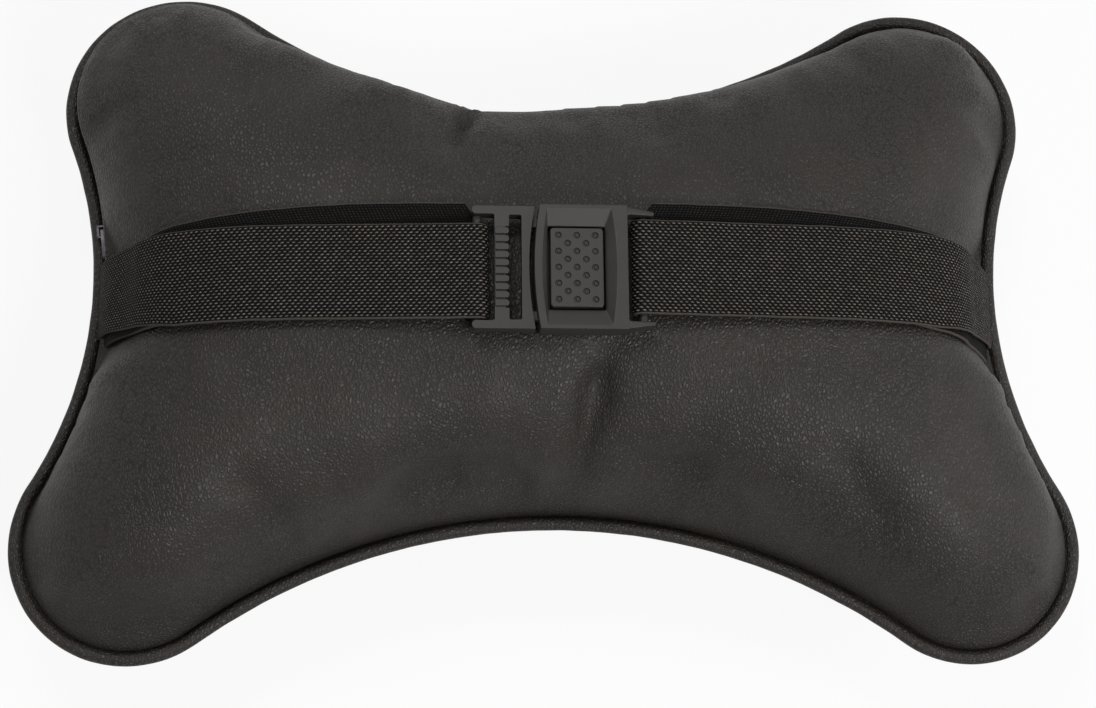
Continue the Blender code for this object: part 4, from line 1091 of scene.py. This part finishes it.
def moulded(name, shape, width=EDGE_ROUNDING, finish=acetal, least_angle=LEAST_ROUNDED_ANGLE):
    """Turns a bmesh into a piece with rounded edges."""
    bmesh.ops.recalc_face_normals(shape, faces=shape.faces)
    piece = piece_of(name, shape, finish)
    rounding = piece.modifiers.new("mould_radius", "BEVEL")
    rounding.width = width
    rounding.segments = 3
    rounding.limit_method = "ANGLE"
    rounding.angle_limit = math.radians(least_angle)
    rounding.harden_normals = True
    piece.data.shade_smooth()
    return piece


def baked(piece):
    """The piece with its modifiers made part of its mesh."""
    bpy.context.view_layer.update()
    done = bpy.data.meshes.new_from_object(piece.evaluated_get(bpy.context.evaluated_depsgraph_get()))
    old = piece.data
    piece.modifiers.clear()
    piece.data = done
    done.name = piece.name
    bpy.data.meshes.remove(old)
    return piece


def joined(name, pieces):
    """Several pieces of one material as one mesh."""
    shape = bmesh.new()
    finish = pieces[0].data.materials[0]
    for piece in pieces:
        shape.from_mesh(baked(piece).data)
        bpy.data.objects.remove(piece)
    return piece_of(name, shape, finish)


def strap_bar(name, x):
    """The round bar across a buckle half that its strap is folded over."""
    shape = bmesh.new()
    radius = BAR_DIAMETER / 2
    bmesh.ops.create_cone(shape, cap_ends=True, segments=20, radius1=radius, radius2=radius,
                          depth=2 * leg_inner)
    turn = Vector((0, 1, 0)).to_track_quat("Z", "Y").to_matrix().to_4x4()
    bmesh.ops.transform(shape, verts=shape.verts, matrix=Matrix.Translation((x, BUCKLE_Y, bar_level)) @ turn)
    return moulded(name, shape, radius * 0.15)


def bowed_edge(x, half):
    """The parting line between the buckle halves, bowed to the left in its middle."""
    shares = [2 * k / BOW_STEPS - 1 for k in range(BOW_STEPS + 1)]
    return [(x - SOCKET_BOW * (1 - share ** 2), share * half, 0) for share in shares]


def on_buckle(points):
    """An outline moved onto the buckle's middle line."""
    return [(point[0], point[1] + BUCKLE_Y) for point in points]


half_width = BUCKLE_WIDTH / 2
leg_inner = half_width - LEG_THICKNESS
slot_x = LADDER_X + LADDER_WIDTH
curved_x = slot_x + SLOT_WIDTH
tongue_end = curved_x + CURVED_BAR_WIDTH
leg_low = buckle_base + BAR_RISE - BAR_DIAMETER / 2 + LEG_LIFT
leg_high = leg_low + LEG_HEIGHT
leg_end = TONGUE_BAR_X - BAR_DIAMETER / 2 - CLEARANCE
tip_round = LEG_THICKNESS * 0.45
tongue_outline = rounded([(leg_end, -half_width, tip_round), *bowed_edge(tongue_end, half_width),
                          (leg_end, half_width, tip_round), (leg_end, leg_inner, tip_round),
                          (LADDER_X, leg_inner, FRAME_CORNER), (LADDER_X, -leg_inner, FRAME_CORNER),
                          (leg_end, -leg_inner, tip_round)])
slot_end = leg_inner - SLOT_MARGIN
pad_zone = PAD_PITCH * (PAD_COUNT / 2 + 0.1)
slot_outline = rounded([(slot_x, -slot_end, FRAME_CORNER), (curved_x, -slot_end, FRAME_CORNER),
                        (curved_x, slot_end, FRAME_CORNER), (slot_x, slot_end, FRAME_CORNER),
                        (slot_x, pad_zone, 0), (slot_x - PAD_NOSE, pad_zone, 0),
                        (slot_x - PAD_NOSE, -pad_zone, 0), (slot_x, -pad_zone, 0)])
tongue_parts = [moulded("tongue_frame", extruded(on_buckle(tongue_outline), leg_low, leg_high,
                                                 on_buckle(slot_outline))),
                strap_bar("tongue_bar", TONGUE_BAR_X)]
arm_low = buckle_base + ARM_RISE
arm_root, arm_tip = curved_x + ARM_ROOT, tongue_end + ARM_LENGTH
for sign in (-1, 1):
    inner, outer = sign * ARM_INNER, sign * (ARM_INNER + ARM_WIDTH)
    arm = [(arm_root, inner), (arm_tip, inner), (arm_tip, outer), (arm_root, outer)]
    tongue_parts.append(moulded("tongue_arm", extruded(on_buckle(arm), arm_low, arm_low + ARM_HEIGHT)))


def instance_tree(name):
    """Geometry Nodes: one piece on every point of a mesh, turned by the points' own direction attribute."""
    tree = bpy.data.node_groups.new(name, "GeometryNodeTree")
    face = tree.interface
    face.new_socket("Geometry", in_out="INPUT", socket_type="NodeSocketGeometry")
    face.new_socket("Piece", in_out="INPUT", socket_type="NodeSocketObject")
    face.new_socket("Finish", in_out="INPUT", socket_type="NodeSocketMaterial")
    face.new_socket("Geometry", in_out="OUTPUT", socket_type="NodeSocketGeometry")
    given = add_node(tree, "NodeGroupInput")
    piece = add_node(tree, "GeometryNodeObjectInfo", {"Object": given.outputs["Piece"]})
    course = add_node(tree, "GeometryNodeInputNamedAttribute", {"Name": "course"}, data_type="FLOAT_VECTOR")
    turn = add_node(tree, "FunctionNodeAlignRotationToVector", {"Vector": course.outputs[0]}, axis="X")
    spread = add_node(tree, "GeometryNodeInstanceOnPoints",
                      {"Points": given.outputs["Geometry"], "Instance": piece.outputs["Geometry"],
                       "Rotation": turn.outputs[0]})
    whole = add_node(tree, "GeometryNodeRealizeInstances", {0: spread.outputs[0]})
    finish = add_node(tree, "GeometryNodeSetMaterial", {"Geometry": whole.outputs[0],
                      "Material": given.outputs["Finish"]})
    add_node(tree, "NodeGroupOutput", {0: finish.outputs[0]})
    return tree


repeat_on_points = instance_tree("repeat_on_points")


def repeated(name, piece, places, finish, courses=None):
    """The piece set on each place, along its course or else along x, as one mesh."""
    points = bpy.data.meshes.new(name)
    points.from_pydata(places, [], [])
    course = points.attributes.new("course", "FLOAT_VECTOR", "POINT")
    for number, direction in enumerate(courses or [(1, 0, 0)] * len(places)):
        course.data[number].vector = direction
    made = new_object(name, points)
    spread = made.modifiers.new("repeat", "NODES")
    spread.node_group = repeat_on_points
    wanted = {"Piece": piece, "Finish": finish}
    for item in repeat_on_points.interface.items_tree:
        if item.in_out == "INPUT" and item.name in wanted:
            spread[item.identifier] = wanted[item.name]
    baked(made)
    bpy.data.objects.remove(piece)
    return made


# Grip pads on the ladder bar, square towards the strap and round towards the slot
pad_reach = PAD_PITCH * 0.4
pad_outline = rounded([(PAD_BACK, -pad_reach, 0), (LADDER_WIDTH, -pad_reach, pad_reach * 0.9),
                       (LADDER_WIDTH, pad_reach, pad_reach * 0.9), (PAD_BACK, pad_reach, 0)])
pad = baked(moulded("grip_pad", extruded(pad_outline, -PAD_HEIGHT, PAD_HEIGHT), PAD_ROUNDING))
pad_places = [(LADDER_X, BUCKLE_Y + (k - (PAD_COUNT - 1) / 2) * PAD_PITCH, leg_high)
              for k in range(PAD_COUNT)]
tongue_parts.append(repeated("grip_pads", pad, pad_places, acetal))
tongue = joined("moulded_tongue", tongue_parts)
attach(tongue, "pillow")
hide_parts("buckle_tongue")

# Buckle socket
# The right half: a shell round the press plate, open on top in a window with bowed, sloping sides, and two
# prongs with the strap bar between them.
SOCKET_LENGTH = 22.4 * mm
CAVITY_FLOOR = 1.4 * mm
LIP_RISE = 5.4 * mm
PLATE_LENGTH = 13.6 * mm
PLATE_WIDTH = 20.8 * mm
PLATE_GAP = 0.5 * mm
PLATE_INSET = 2.6 * mm
WINDOW_WALL = 0.9 * mm
WINDOW_LEFT = 1.8 * mm
WINDOW_LEFT_BOW = 1.4 * mm
WINDOW_RIGHT = 4.0 * mm
WINDOW_RIGHT_BOW = 1.2 * mm
PRONG_TAPER = 1.1 * mm
PRONG_LENGTH = 7.0 * mm
PRONG_ROOT = 2 * mm
PRONG_INSET = 0.1 * mm
PRONG_STEP = 0.4 * mm
SHELL_MARGIN = 0.2 * mm
SHELL_ROUNDING = 0.25 * mm
SHELL_ANGLE = 15

socket_left = tongue_end + PARTING
socket_right = socket_left + SOCKET_LENGTH
socket_half = half_width + SHELL_MARGIN
plate_start = tongue_end + PARTING + PLATE_INSET
plate_end = plate_start + PLATE_LENGTH
socket_top = buckle_base + BUCKLE_HEIGHT
lip_height = buckle_base + LIP_RISE
hole_half = PLATE_WIDTH / 2 + PLATE_GAP
rim_half = socket_half - WINDOW_WALL
outer_ring, window_ring, lip_ring, floor_ring = [], [], [], []
for side in (-1, 1):
    for k in range(BOW_STEPS + 1):
        share = side * (2 * k / BOW_STEPS - 1)
        bow = 1 - share ** 2
        if side > 0:
            outer_x, hole_x = socket_right, plate_end + PLATE_GAP
            x = socket_right - WINDOW_RIGHT + WINDOW_RIGHT_BOW * bow
        else:
            outer_x, hole_x = socket_left - SOCKET_BOW * bow, plate_start - PLATE_GAP
            x = socket_left + WINDOW_LEFT - WINDOW_LEFT_BOW * bow
        outer_ring.append((outer_x, BUCKLE_Y + share * socket_half, buckle_base))
        window_ring.append((x, BUCKLE_Y + share * rim_half, socket_top))
        lip_ring.append((hole_x, BUCKLE_Y + share * hole_half, lip_height))
        floor_ring.append((hole_x, BUCKLE_Y + share * hole_half, buckle_base + CAVITY_FLOOR))
outer_top = [(x, y, socket_top) for x, y, z in outer_ring]
shell = stacked([outer_ring, outer_top, window_ring, lip_ring, floor_ring])
socket_parts = [moulded("socket_body", shell, SHELL_ROUNDING, least_angle=SHELL_ANGLE)]
prong_tip, prong_root = socket_right + PRONG_LENGTH, socket_right - PRONG_ROOT
prong_outer, prong_web = half_width - PRONG_INSET, leg_inner - PRONG_ROOT
prong_root_rise = socket_top - leg_high - PRONG_STEP
for sign in (-1, 1):
    prong = [(prong_root, prong_outer, 0), (socket_right, prong_outer, 0),
             (prong_tip, half_width - PRONG_TAPER, FRAME_CORNER), (prong_tip, leg_inner, FRAME_CORNER),
             (socket_right + 0.2 * mm, leg_inner, 1.0 * mm), (socket_right - 1.0 * mm, prong_web, 0),
             (prong_root, prong_web, 0)]
    prong_outline = rounded([(x, sign * y, radius) for x, y, radius in prong])
    shape = extruded(on_buckle(prong_outline), leg_low, leg_high)
    for vert in shape.verts:
        if vert.co.z > (leg_low + leg_high) / 2:
            vert.co.z += prong_root_rise * (1 - eased((vert.co.x - socket_right) / PRONG_LENGTH))
    socket_parts.append(moulded("socket_prong", shape))
socket_parts.append(strap_bar("socket_bar", SOCKET_BAR_X))
socket = joined("moulded_socket", socket_parts)
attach(socket, "pillow")
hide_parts("buckle_socket")

# Press plate
# The plate that is pushed in to free the tongue: a flat button with soft edges and 23 staggered grip pips,
# each a small dimple with a nub standing in it.
PLATE_STANDS = 1.0 * mm
PIP_ROWS = 9
PIP_ROW_PITCH = 2.1 * mm
PIP_COLUMN_PITCH = 4.7 * mm
DIMPLE_DIAMETER = 1.8 * mm
DIMPLE_DEPTH = 0.42 * mm
NUB_DIAMETER = 0.85 * mm
NUB_HEIGHT = 0.34 * mm
PLATE_ROUNDING = 0.4 * mm
PLATE_CORNER = 0.9 * mm
SHARPEST_SMOOTH_ANGLE = 40

plate_low, plate_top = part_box("push_plate")[0][2], lip_height + PLATE_STANDS
plate_middle = (plate_start + plate_end) / 2
half = PLATE_WIDTH / 2
corners = [(plate_start, -half), (plate_end, -half), (plate_end, half), (plate_start, half)]
plate_outline = on_buckle(rounded([(x, y, PLATE_CORNER) for x, y in corners]))
plate = baked(moulded("ribbed_press_plate", extruded(plate_outline, plate_low, plate_top), PLATE_ROUNDING))
pip_places = []
for row in range(PIP_ROWS):
    columns = 3 if row % 2 == 0 else 2
    for column in range(columns):
        pip_places.append((plate_middle + (column - (columns - 1) / 2) * PIP_COLUMN_PITCH,
                           BUCKLE_Y + (PIP_ROWS // 2 - row) * PIP_ROW_PITCH, plate_top))
shape = bmesh.new()
bmesh.ops.create_cone(shape, cap_ends=True, segments=20, radius1=DIMPLE_DIAMETER * 0.36,
                      radius2=DIMPLE_DIAMETER * 0.64, depth=2 * DIMPLE_DEPTH)
dimples = repeated("dimple_forms", piece_of("dimple_form", shape), pip_places, acetal)
cut = plate.modifiers.new("dimples", "BOOLEAN")
cut.operation = "DIFFERENCE"
cut.solver = "EXACT"
cut.object = dimples
baked(plate)
bpy.data.objects.remove(dimples)
shape = bmesh.new()
bmesh.ops.create_uvsphere(shape, u_segments=14, v_segments=8, radius=NUB_DIAMETER / 2)
bmesh.ops.scale(shape, vec=(1, 1, NUB_HEIGHT / NUB_DIAMETER * 2), verts=shape.verts)
nub = piece_of("nub", shape)
nub.data.shade_smooth()
nub_places = [(x, y, z - DIMPLE_DEPTH * 0.75) for x, y, z in pip_places]
press_plate = joined("press_plate", [plate, repeated("grip_nubs", nub, nub_places, acetal)])
old_normals = press_plate.data.attributes.get("custom_normal")
if old_normals:
    press_plate.data.attributes.remove(old_normals)
press_plate.data.shade_smooth()
press_plate.data.set_sharp_from_angle(angle=math.radians(SHARPEST_SMOOTH_ANGLE))
level_faces = press_plate.modifiers.new("level_faces", "WEIGHTED_NORMAL")
level_faces.keep_sharp = True
baked(press_plate)
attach(press_plate, "plate")
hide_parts("push_plate")

# Zip
# A closed nylon coil zip between the rear panel and the piping, from beside the strap's left end round the
# upper lobe: two black twill tapes, the coil sewn on them, a die-cast slider with its pull, and two stops.
CHAIN_RISE = 1.4 * mm
CHAIN_WIDTH = 3.6 * mm
CHAIN_THICKNESS = 1.5 * mm
COIL_PITCH = 1.25 * mm
COIL_WIRE = 0.62 * mm
COIL_OVERLAP = 0.35 * mm
COIL_LEAN = 0.3 * mm
COIL_ROW_SHIFT = 0.08 * mm
TAPE_THICKNESS = 0.5 * mm
TAPE_TAIL = 6 * mm
TAPE_FAR_TAIL = 30 * mm
TAPE_STEP = 2 * mm
SLIDER_LENGTH = 6.2 * mm
SLIDER_PLATE = 0.6 * mm
SLIDER_CORNER = 0.6 * mm
SLIDER_SINK = 0.1 * mm
SLIDER_ROUNDING = 0.14 * mm
CAST_ROUNDING = 0.16 * mm
BRIDGE_HEIGHT = 2.1 * mm
PULL_LENGTH = 8.5 * mm
PULL_WIDTH = 3.4 * mm
PULL_THICKNESS = 0.8 * mm
PULL_BAR = 0.7 * mm
PULL_EYE = 2.0 * mm
PULL_CORNER = 0.3 * mm
PULL_SHOULDER = 0.5 * mm
PULL_TIP = 1.2 * mm
STOP_LENGTH = 1.8 * mm
STOP_WALL = 0.25 * mm
STOP_ROUNDING = 0.3 * mm

twill, tree, shader = new_material("polyester_twill_tape")
uv = add_node(tree, "ShaderNodeUVMap", uv_map="cloth")
ribs = add_node(tree, "ShaderNodeTexWave",
                {"Vector": uv.outputs[0], "Scale": 1 / (3.2 * mm), "Distortion": 0.4}, wave_type="BANDS",
                bands_direction="DIAGONAL")
tree.links.new(blended(tree, ribs.outputs["Fac"], "#100f0f", "#262424"), shader.inputs["Base Color"])
tree.links.new(bumped(tree, ribs.outputs["Fac"], 0.8, 0.1 * mm), shader.inputs["Normal"])
shader.inputs["Roughness"].default_value = 0.8

nylon, tree, shader = new_material("extruded_nylon_coil")
place = add_node(tree, "ShaderNodeTexCoord").outputs["Object"]
drawn = noise_texture(tree, place, 0.5 * mm, 2.0)
tree.links.new(remapped(tree, drawn, (0.0, 1.0), (0.28, 0.42)), shader.inputs["Roughness"])
tree.links.new(blended(tree, drawn, "#131313", "#1f1f1f"), shader.inputs["Base Color"])
shader.inputs["IOR"].default_value = 1.53

# Die-cast zinc with a dark gunmetal plating: soft metallic gloss, slightly cloudy
gunmetal, tree, shader = new_material("gunmetal_plated_zinc")
place = add_node(tree, "ShaderNodeTexCoord").outputs["Object"]
cloud = noise_texture(tree, place, 1.1 * mm, 4.0)
tree.links.new(blended(tree, cloud, "#29282a", "#474649"), shader.inputs["Base Color"])
tree.links.new(remapped(tree, cloud, (0.0, 1.0), (0.34, 0.48)), shader.inputs["Roughness"])
shader.inputs["Metallic"].default_value = 1.0

chain_depth = RIM_INSET + CHAIN_THICKNESS / 2 + CLEARANCE
chain_low = SEAM_LIP + CHAIN_RISE
chain_high = chain_low + CHAIN_WIDTH
chain_run = left_seam_run(chain_depth, ZIP_START_Y, ZIP_LENGTH, COIL_PITCH)
chain_middle = SEAM_HEIGHT + (chain_low + chain_high) / 2
tape_run = left_seam_run(chain_depth, ZIP_START_Y - TAPE_TAIL, TAPE_TAIL + ZIP_LENGTH + TAPE_FAR_TAIL,
                         TAPE_STEP)


def seam_course(run, number):
    """Direction along a seam run at one of its points."""
    ahead = run[min(number + 1, len(run) - 1)] - run[max(number - 1, 0)]
    return Vector((ahead.x, ahead.y, 0)).normalized()


def tape(name, node, low, high):
    """One upright tape along the seam, its weave laid out along it."""
    points, layout = [], []
    done = 0.0
    for number, point in enumerate(tape_run):
        course = seam_course(tape_run, number)
        out = Vector((-course.y, course.x, 0))
        if number:
            done += (point - tape_run[number - 1]).length
        for side, height in ((1, low), (-1, low), (-1, high), (1, high)):
            edge = out * side * TAPE_THICKNESS / 2
            points.append((point.x + edge.x, point.y + edge.y, SEAM_HEIGHT + height))
            layout.append((done, height))
    ends = [(3, 2, 1, 0), tuple(range(len(points) - 4, len(points)))]
    piece = mesh_piece(name, points, tube_faces(len(tape_run), 4) + ends, twill)
    lay_cloth(piece.data, layout)
    turned_outward(piece.data)
    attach(piece, "pillow")
    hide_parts(node)


tape("twill_tape_lower", "zip_tape_lower", SEAM_LIP, chain_low)
tape("twill_tape_upper", "zip_tape_upper", chain_high, SEAM_LIP + ZIP_OPENING - 3 * CLEARANCE)


def coil_turn(height, lean):
    """One oval turn of the coil as a thin tube, lying across the chain."""
    points = []
    steps, sides = 12, 6
    for k in range(steps):
        angle = 2 * math.pi * k / steps
        middle = Vector((lean * math.cos(angle), math.sin(angle) * (CHAIN_THICKNESS - COIL_WIRE) / 2,
                         height + math.cos(angle) * (CHAIN_WIDTH / 2 + COIL_OVERLAP - COIL_WIRE) / 2))
        away = Vector((0, math.sin(angle), math.cos(angle)))
        for side in range(sides):
            swing = 2 * math.pi * side / sides
            offset = away * math.cos(swing) + Vector((1, 0, 0)) * math.sin(swing)
            points.append(middle + offset * COIL_WIRE / 2)
    turn = mesh_piece("coil_turn", points, tube_faces(steps, sides, closed=True), nylon)
    turned_outward(turn.data)
    turn.data.shade_smooth()
    return turn


coil_rows = []
for row, height in enumerate((COIL_ROW_SHIFT - CHAIN_WIDTH / 4, CHAIN_WIDTH / 4 - COIL_ROW_SHIFT)):
    places, courses = [], []
    for number in range(len(chain_run) - 1):
        point = chain_run[number].lerp(chain_run[number + 1], 0.25 + 0.5 * row)
        places.append((point.x, point.y, chain_middle))
        courses.append(seam_course(chain_run, number))
    coil_rows.append(repeated("coil_row", coil_turn(height, (0.5 - row) * COIL_LEAN), places, nylon, courses))
coil = joined("nylon_coil", coil_rows)
coil.data.shade_smooth()
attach(coil, "pillow")
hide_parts("zip_chain")


def seam_frame(distance):
    """Place on the tape's run: along the seam, downwards and outwards as the three axes."""
    left = distance
    for a, b in zip(tape_run, tape_run[1:]):
        gap = (b - a).length
        if left <= gap or b is tape_run[-1]:
            point = a.lerp(b, left / gap)
            along = Vector((b.x - a.x, b.y - a.y, 0.0)).normalized()
            break
        left -= gap
    down = Vector((0, 0, -1))
    placing = Matrix((along, down, along.cross(down))).transposed().to_4x4()
    placing.translation = (point.x, point.y, chain_middle)
    return placing


def cast_box(name, low, high, rounding=CAST_ROUNDING):
    """A die-cast block with rounded edges."""
    corners = [(low[0], low[1]), (high[0], low[1]), (high[0], high[1]), (low[0], high[1])]
    return moulded(name, extruded(corners, low[2], high[2]), rounding, gunmetal)


def set_on_seam(piece, distance, node, body):
    """Sets a cast piece at its distance along the tapes."""
    piece.data.transform(seam_frame(distance))
    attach(piece, body)
    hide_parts(node)


stop_half = (STOP_LENGTH / 2, CHAIN_WIDTH / 2, CHAIN_THICKNESS / 2 + STOP_WALL)
for node, distance in (("zip_top_stop", TAPE_TAIL - SLIDER_LENGTH / 2 - CLEARANCE - STOP_LENGTH / 2),
                       ("zip_bottom_stop", TAPE_TAIL + ZIP_LENGTH + CLEARANCE + STOP_LENGTH / 2)):
    stop = cast_box(node + "_crimped", [-v for v in stop_half], stop_half, STOP_ROUNDING)
    set_on_seam(stop, distance, node, "pillow")

slider_gap = CHAIN_THICKNESS / 2 + CLEARANCE
slider_top = slider_gap + SLIDER_PLATE
slider_wide = CHAIN_WIDTH / 2 + CLEARANCE
slider_reach = SLIDER_LENGTH / 2
slider_corners = [(-slider_reach, -slider_wide * 0.7), (slider_reach, -slider_wide),
                  (slider_reach, slider_wide), (-slider_reach, slider_wide * 0.7)]
slider_outline = rounded([(x, y, SLIDER_CORNER) for x, y in slider_corners])
slider_parts = []
for low, high in ((slider_gap, slider_top), (-slider_top, -slider_gap)):
    slider_parts.append(moulded("slider_plate", extruded(slider_outline, low, high), SLIDER_ROUNDING,
                                gunmetal))
bridge_top = slider_top + BRIDGE_HEIGHT
sunk = slider_top - SLIDER_SINK
far_post = PULL_BAR + CLEARANCE
slider_parts += [
    cast_box("slider_wedge", (-slider_reach + PULL_BAR, -slider_wide * 0.4, -sunk),
             (-CLEARANCE, slider_wide * 0.4, sunk), 0.1 * mm),
    cast_box("slider_post", (-PULL_EYE, -PULL_BAR, sunk), (-PULL_EYE + PULL_BAR, PULL_BAR, bridge_top)),
    cast_box("slider_far_post", (far_post, -PULL_BAR, sunk), (far_post + PULL_BAR, PULL_BAR, bridge_top)),
    cast_box("slider_bridge", (-PULL_EYE, -PULL_BAR * 0.9, bridge_top - PULL_BAR),
             (far_post + PULL_BAR, PULL_BAR * 0.9, bridge_top + SLIDER_SINK))]
slider = joined("cast_slider", slider_parts)
set_on_seam(slider, TAPE_TAIL, "zip_slider", "pillow")

# Pull: a flat stamped tab with an eye round the slider's bridge
pull_low = slider_top + CLEARANCE
pull_high = pull_low + PULL_THICKNESS
pull_axis_bar = PULL_BAR / 2
eye_half = PULL_BAR + CLEARANCE
eye_end = math.hypot(PULL_EYE, bridge_top - (pull_low + pull_high) / 2) + CLEARANCE
tab_half = PULL_WIDTH / 2
tab_outline = rounded([(pull_axis_bar, -eye_half - pull_axis_bar, PULL_CORNER),
                       (pull_axis_bar, eye_half + pull_axis_bar, PULL_CORNER),
                       (-eye_end, tab_half, PULL_SHOULDER), (-PULL_LENGTH, tab_half, PULL_TIP),
                       (-PULL_LENGTH, -tab_half, PULL_TIP), (-eye_end, -tab_half, PULL_SHOULDER)])
eye_outline = rounded([(-pull_axis_bar, -eye_half, 0.2 * mm), (-pull_axis_bar, eye_half, 0.2 * mm),
                       (-eye_end, eye_half, PULL_CORNER), (-eye_end, -eye_half, PULL_CORNER)])
pull = baked(moulded("stamped_pull", extruded(tab_outline, pull_low, pull_high, eye_outline), CAST_ROUNDING,
                     gunmetal))
set_on_seam(pull, TAPE_TAIL, "zip_pull", "pull")
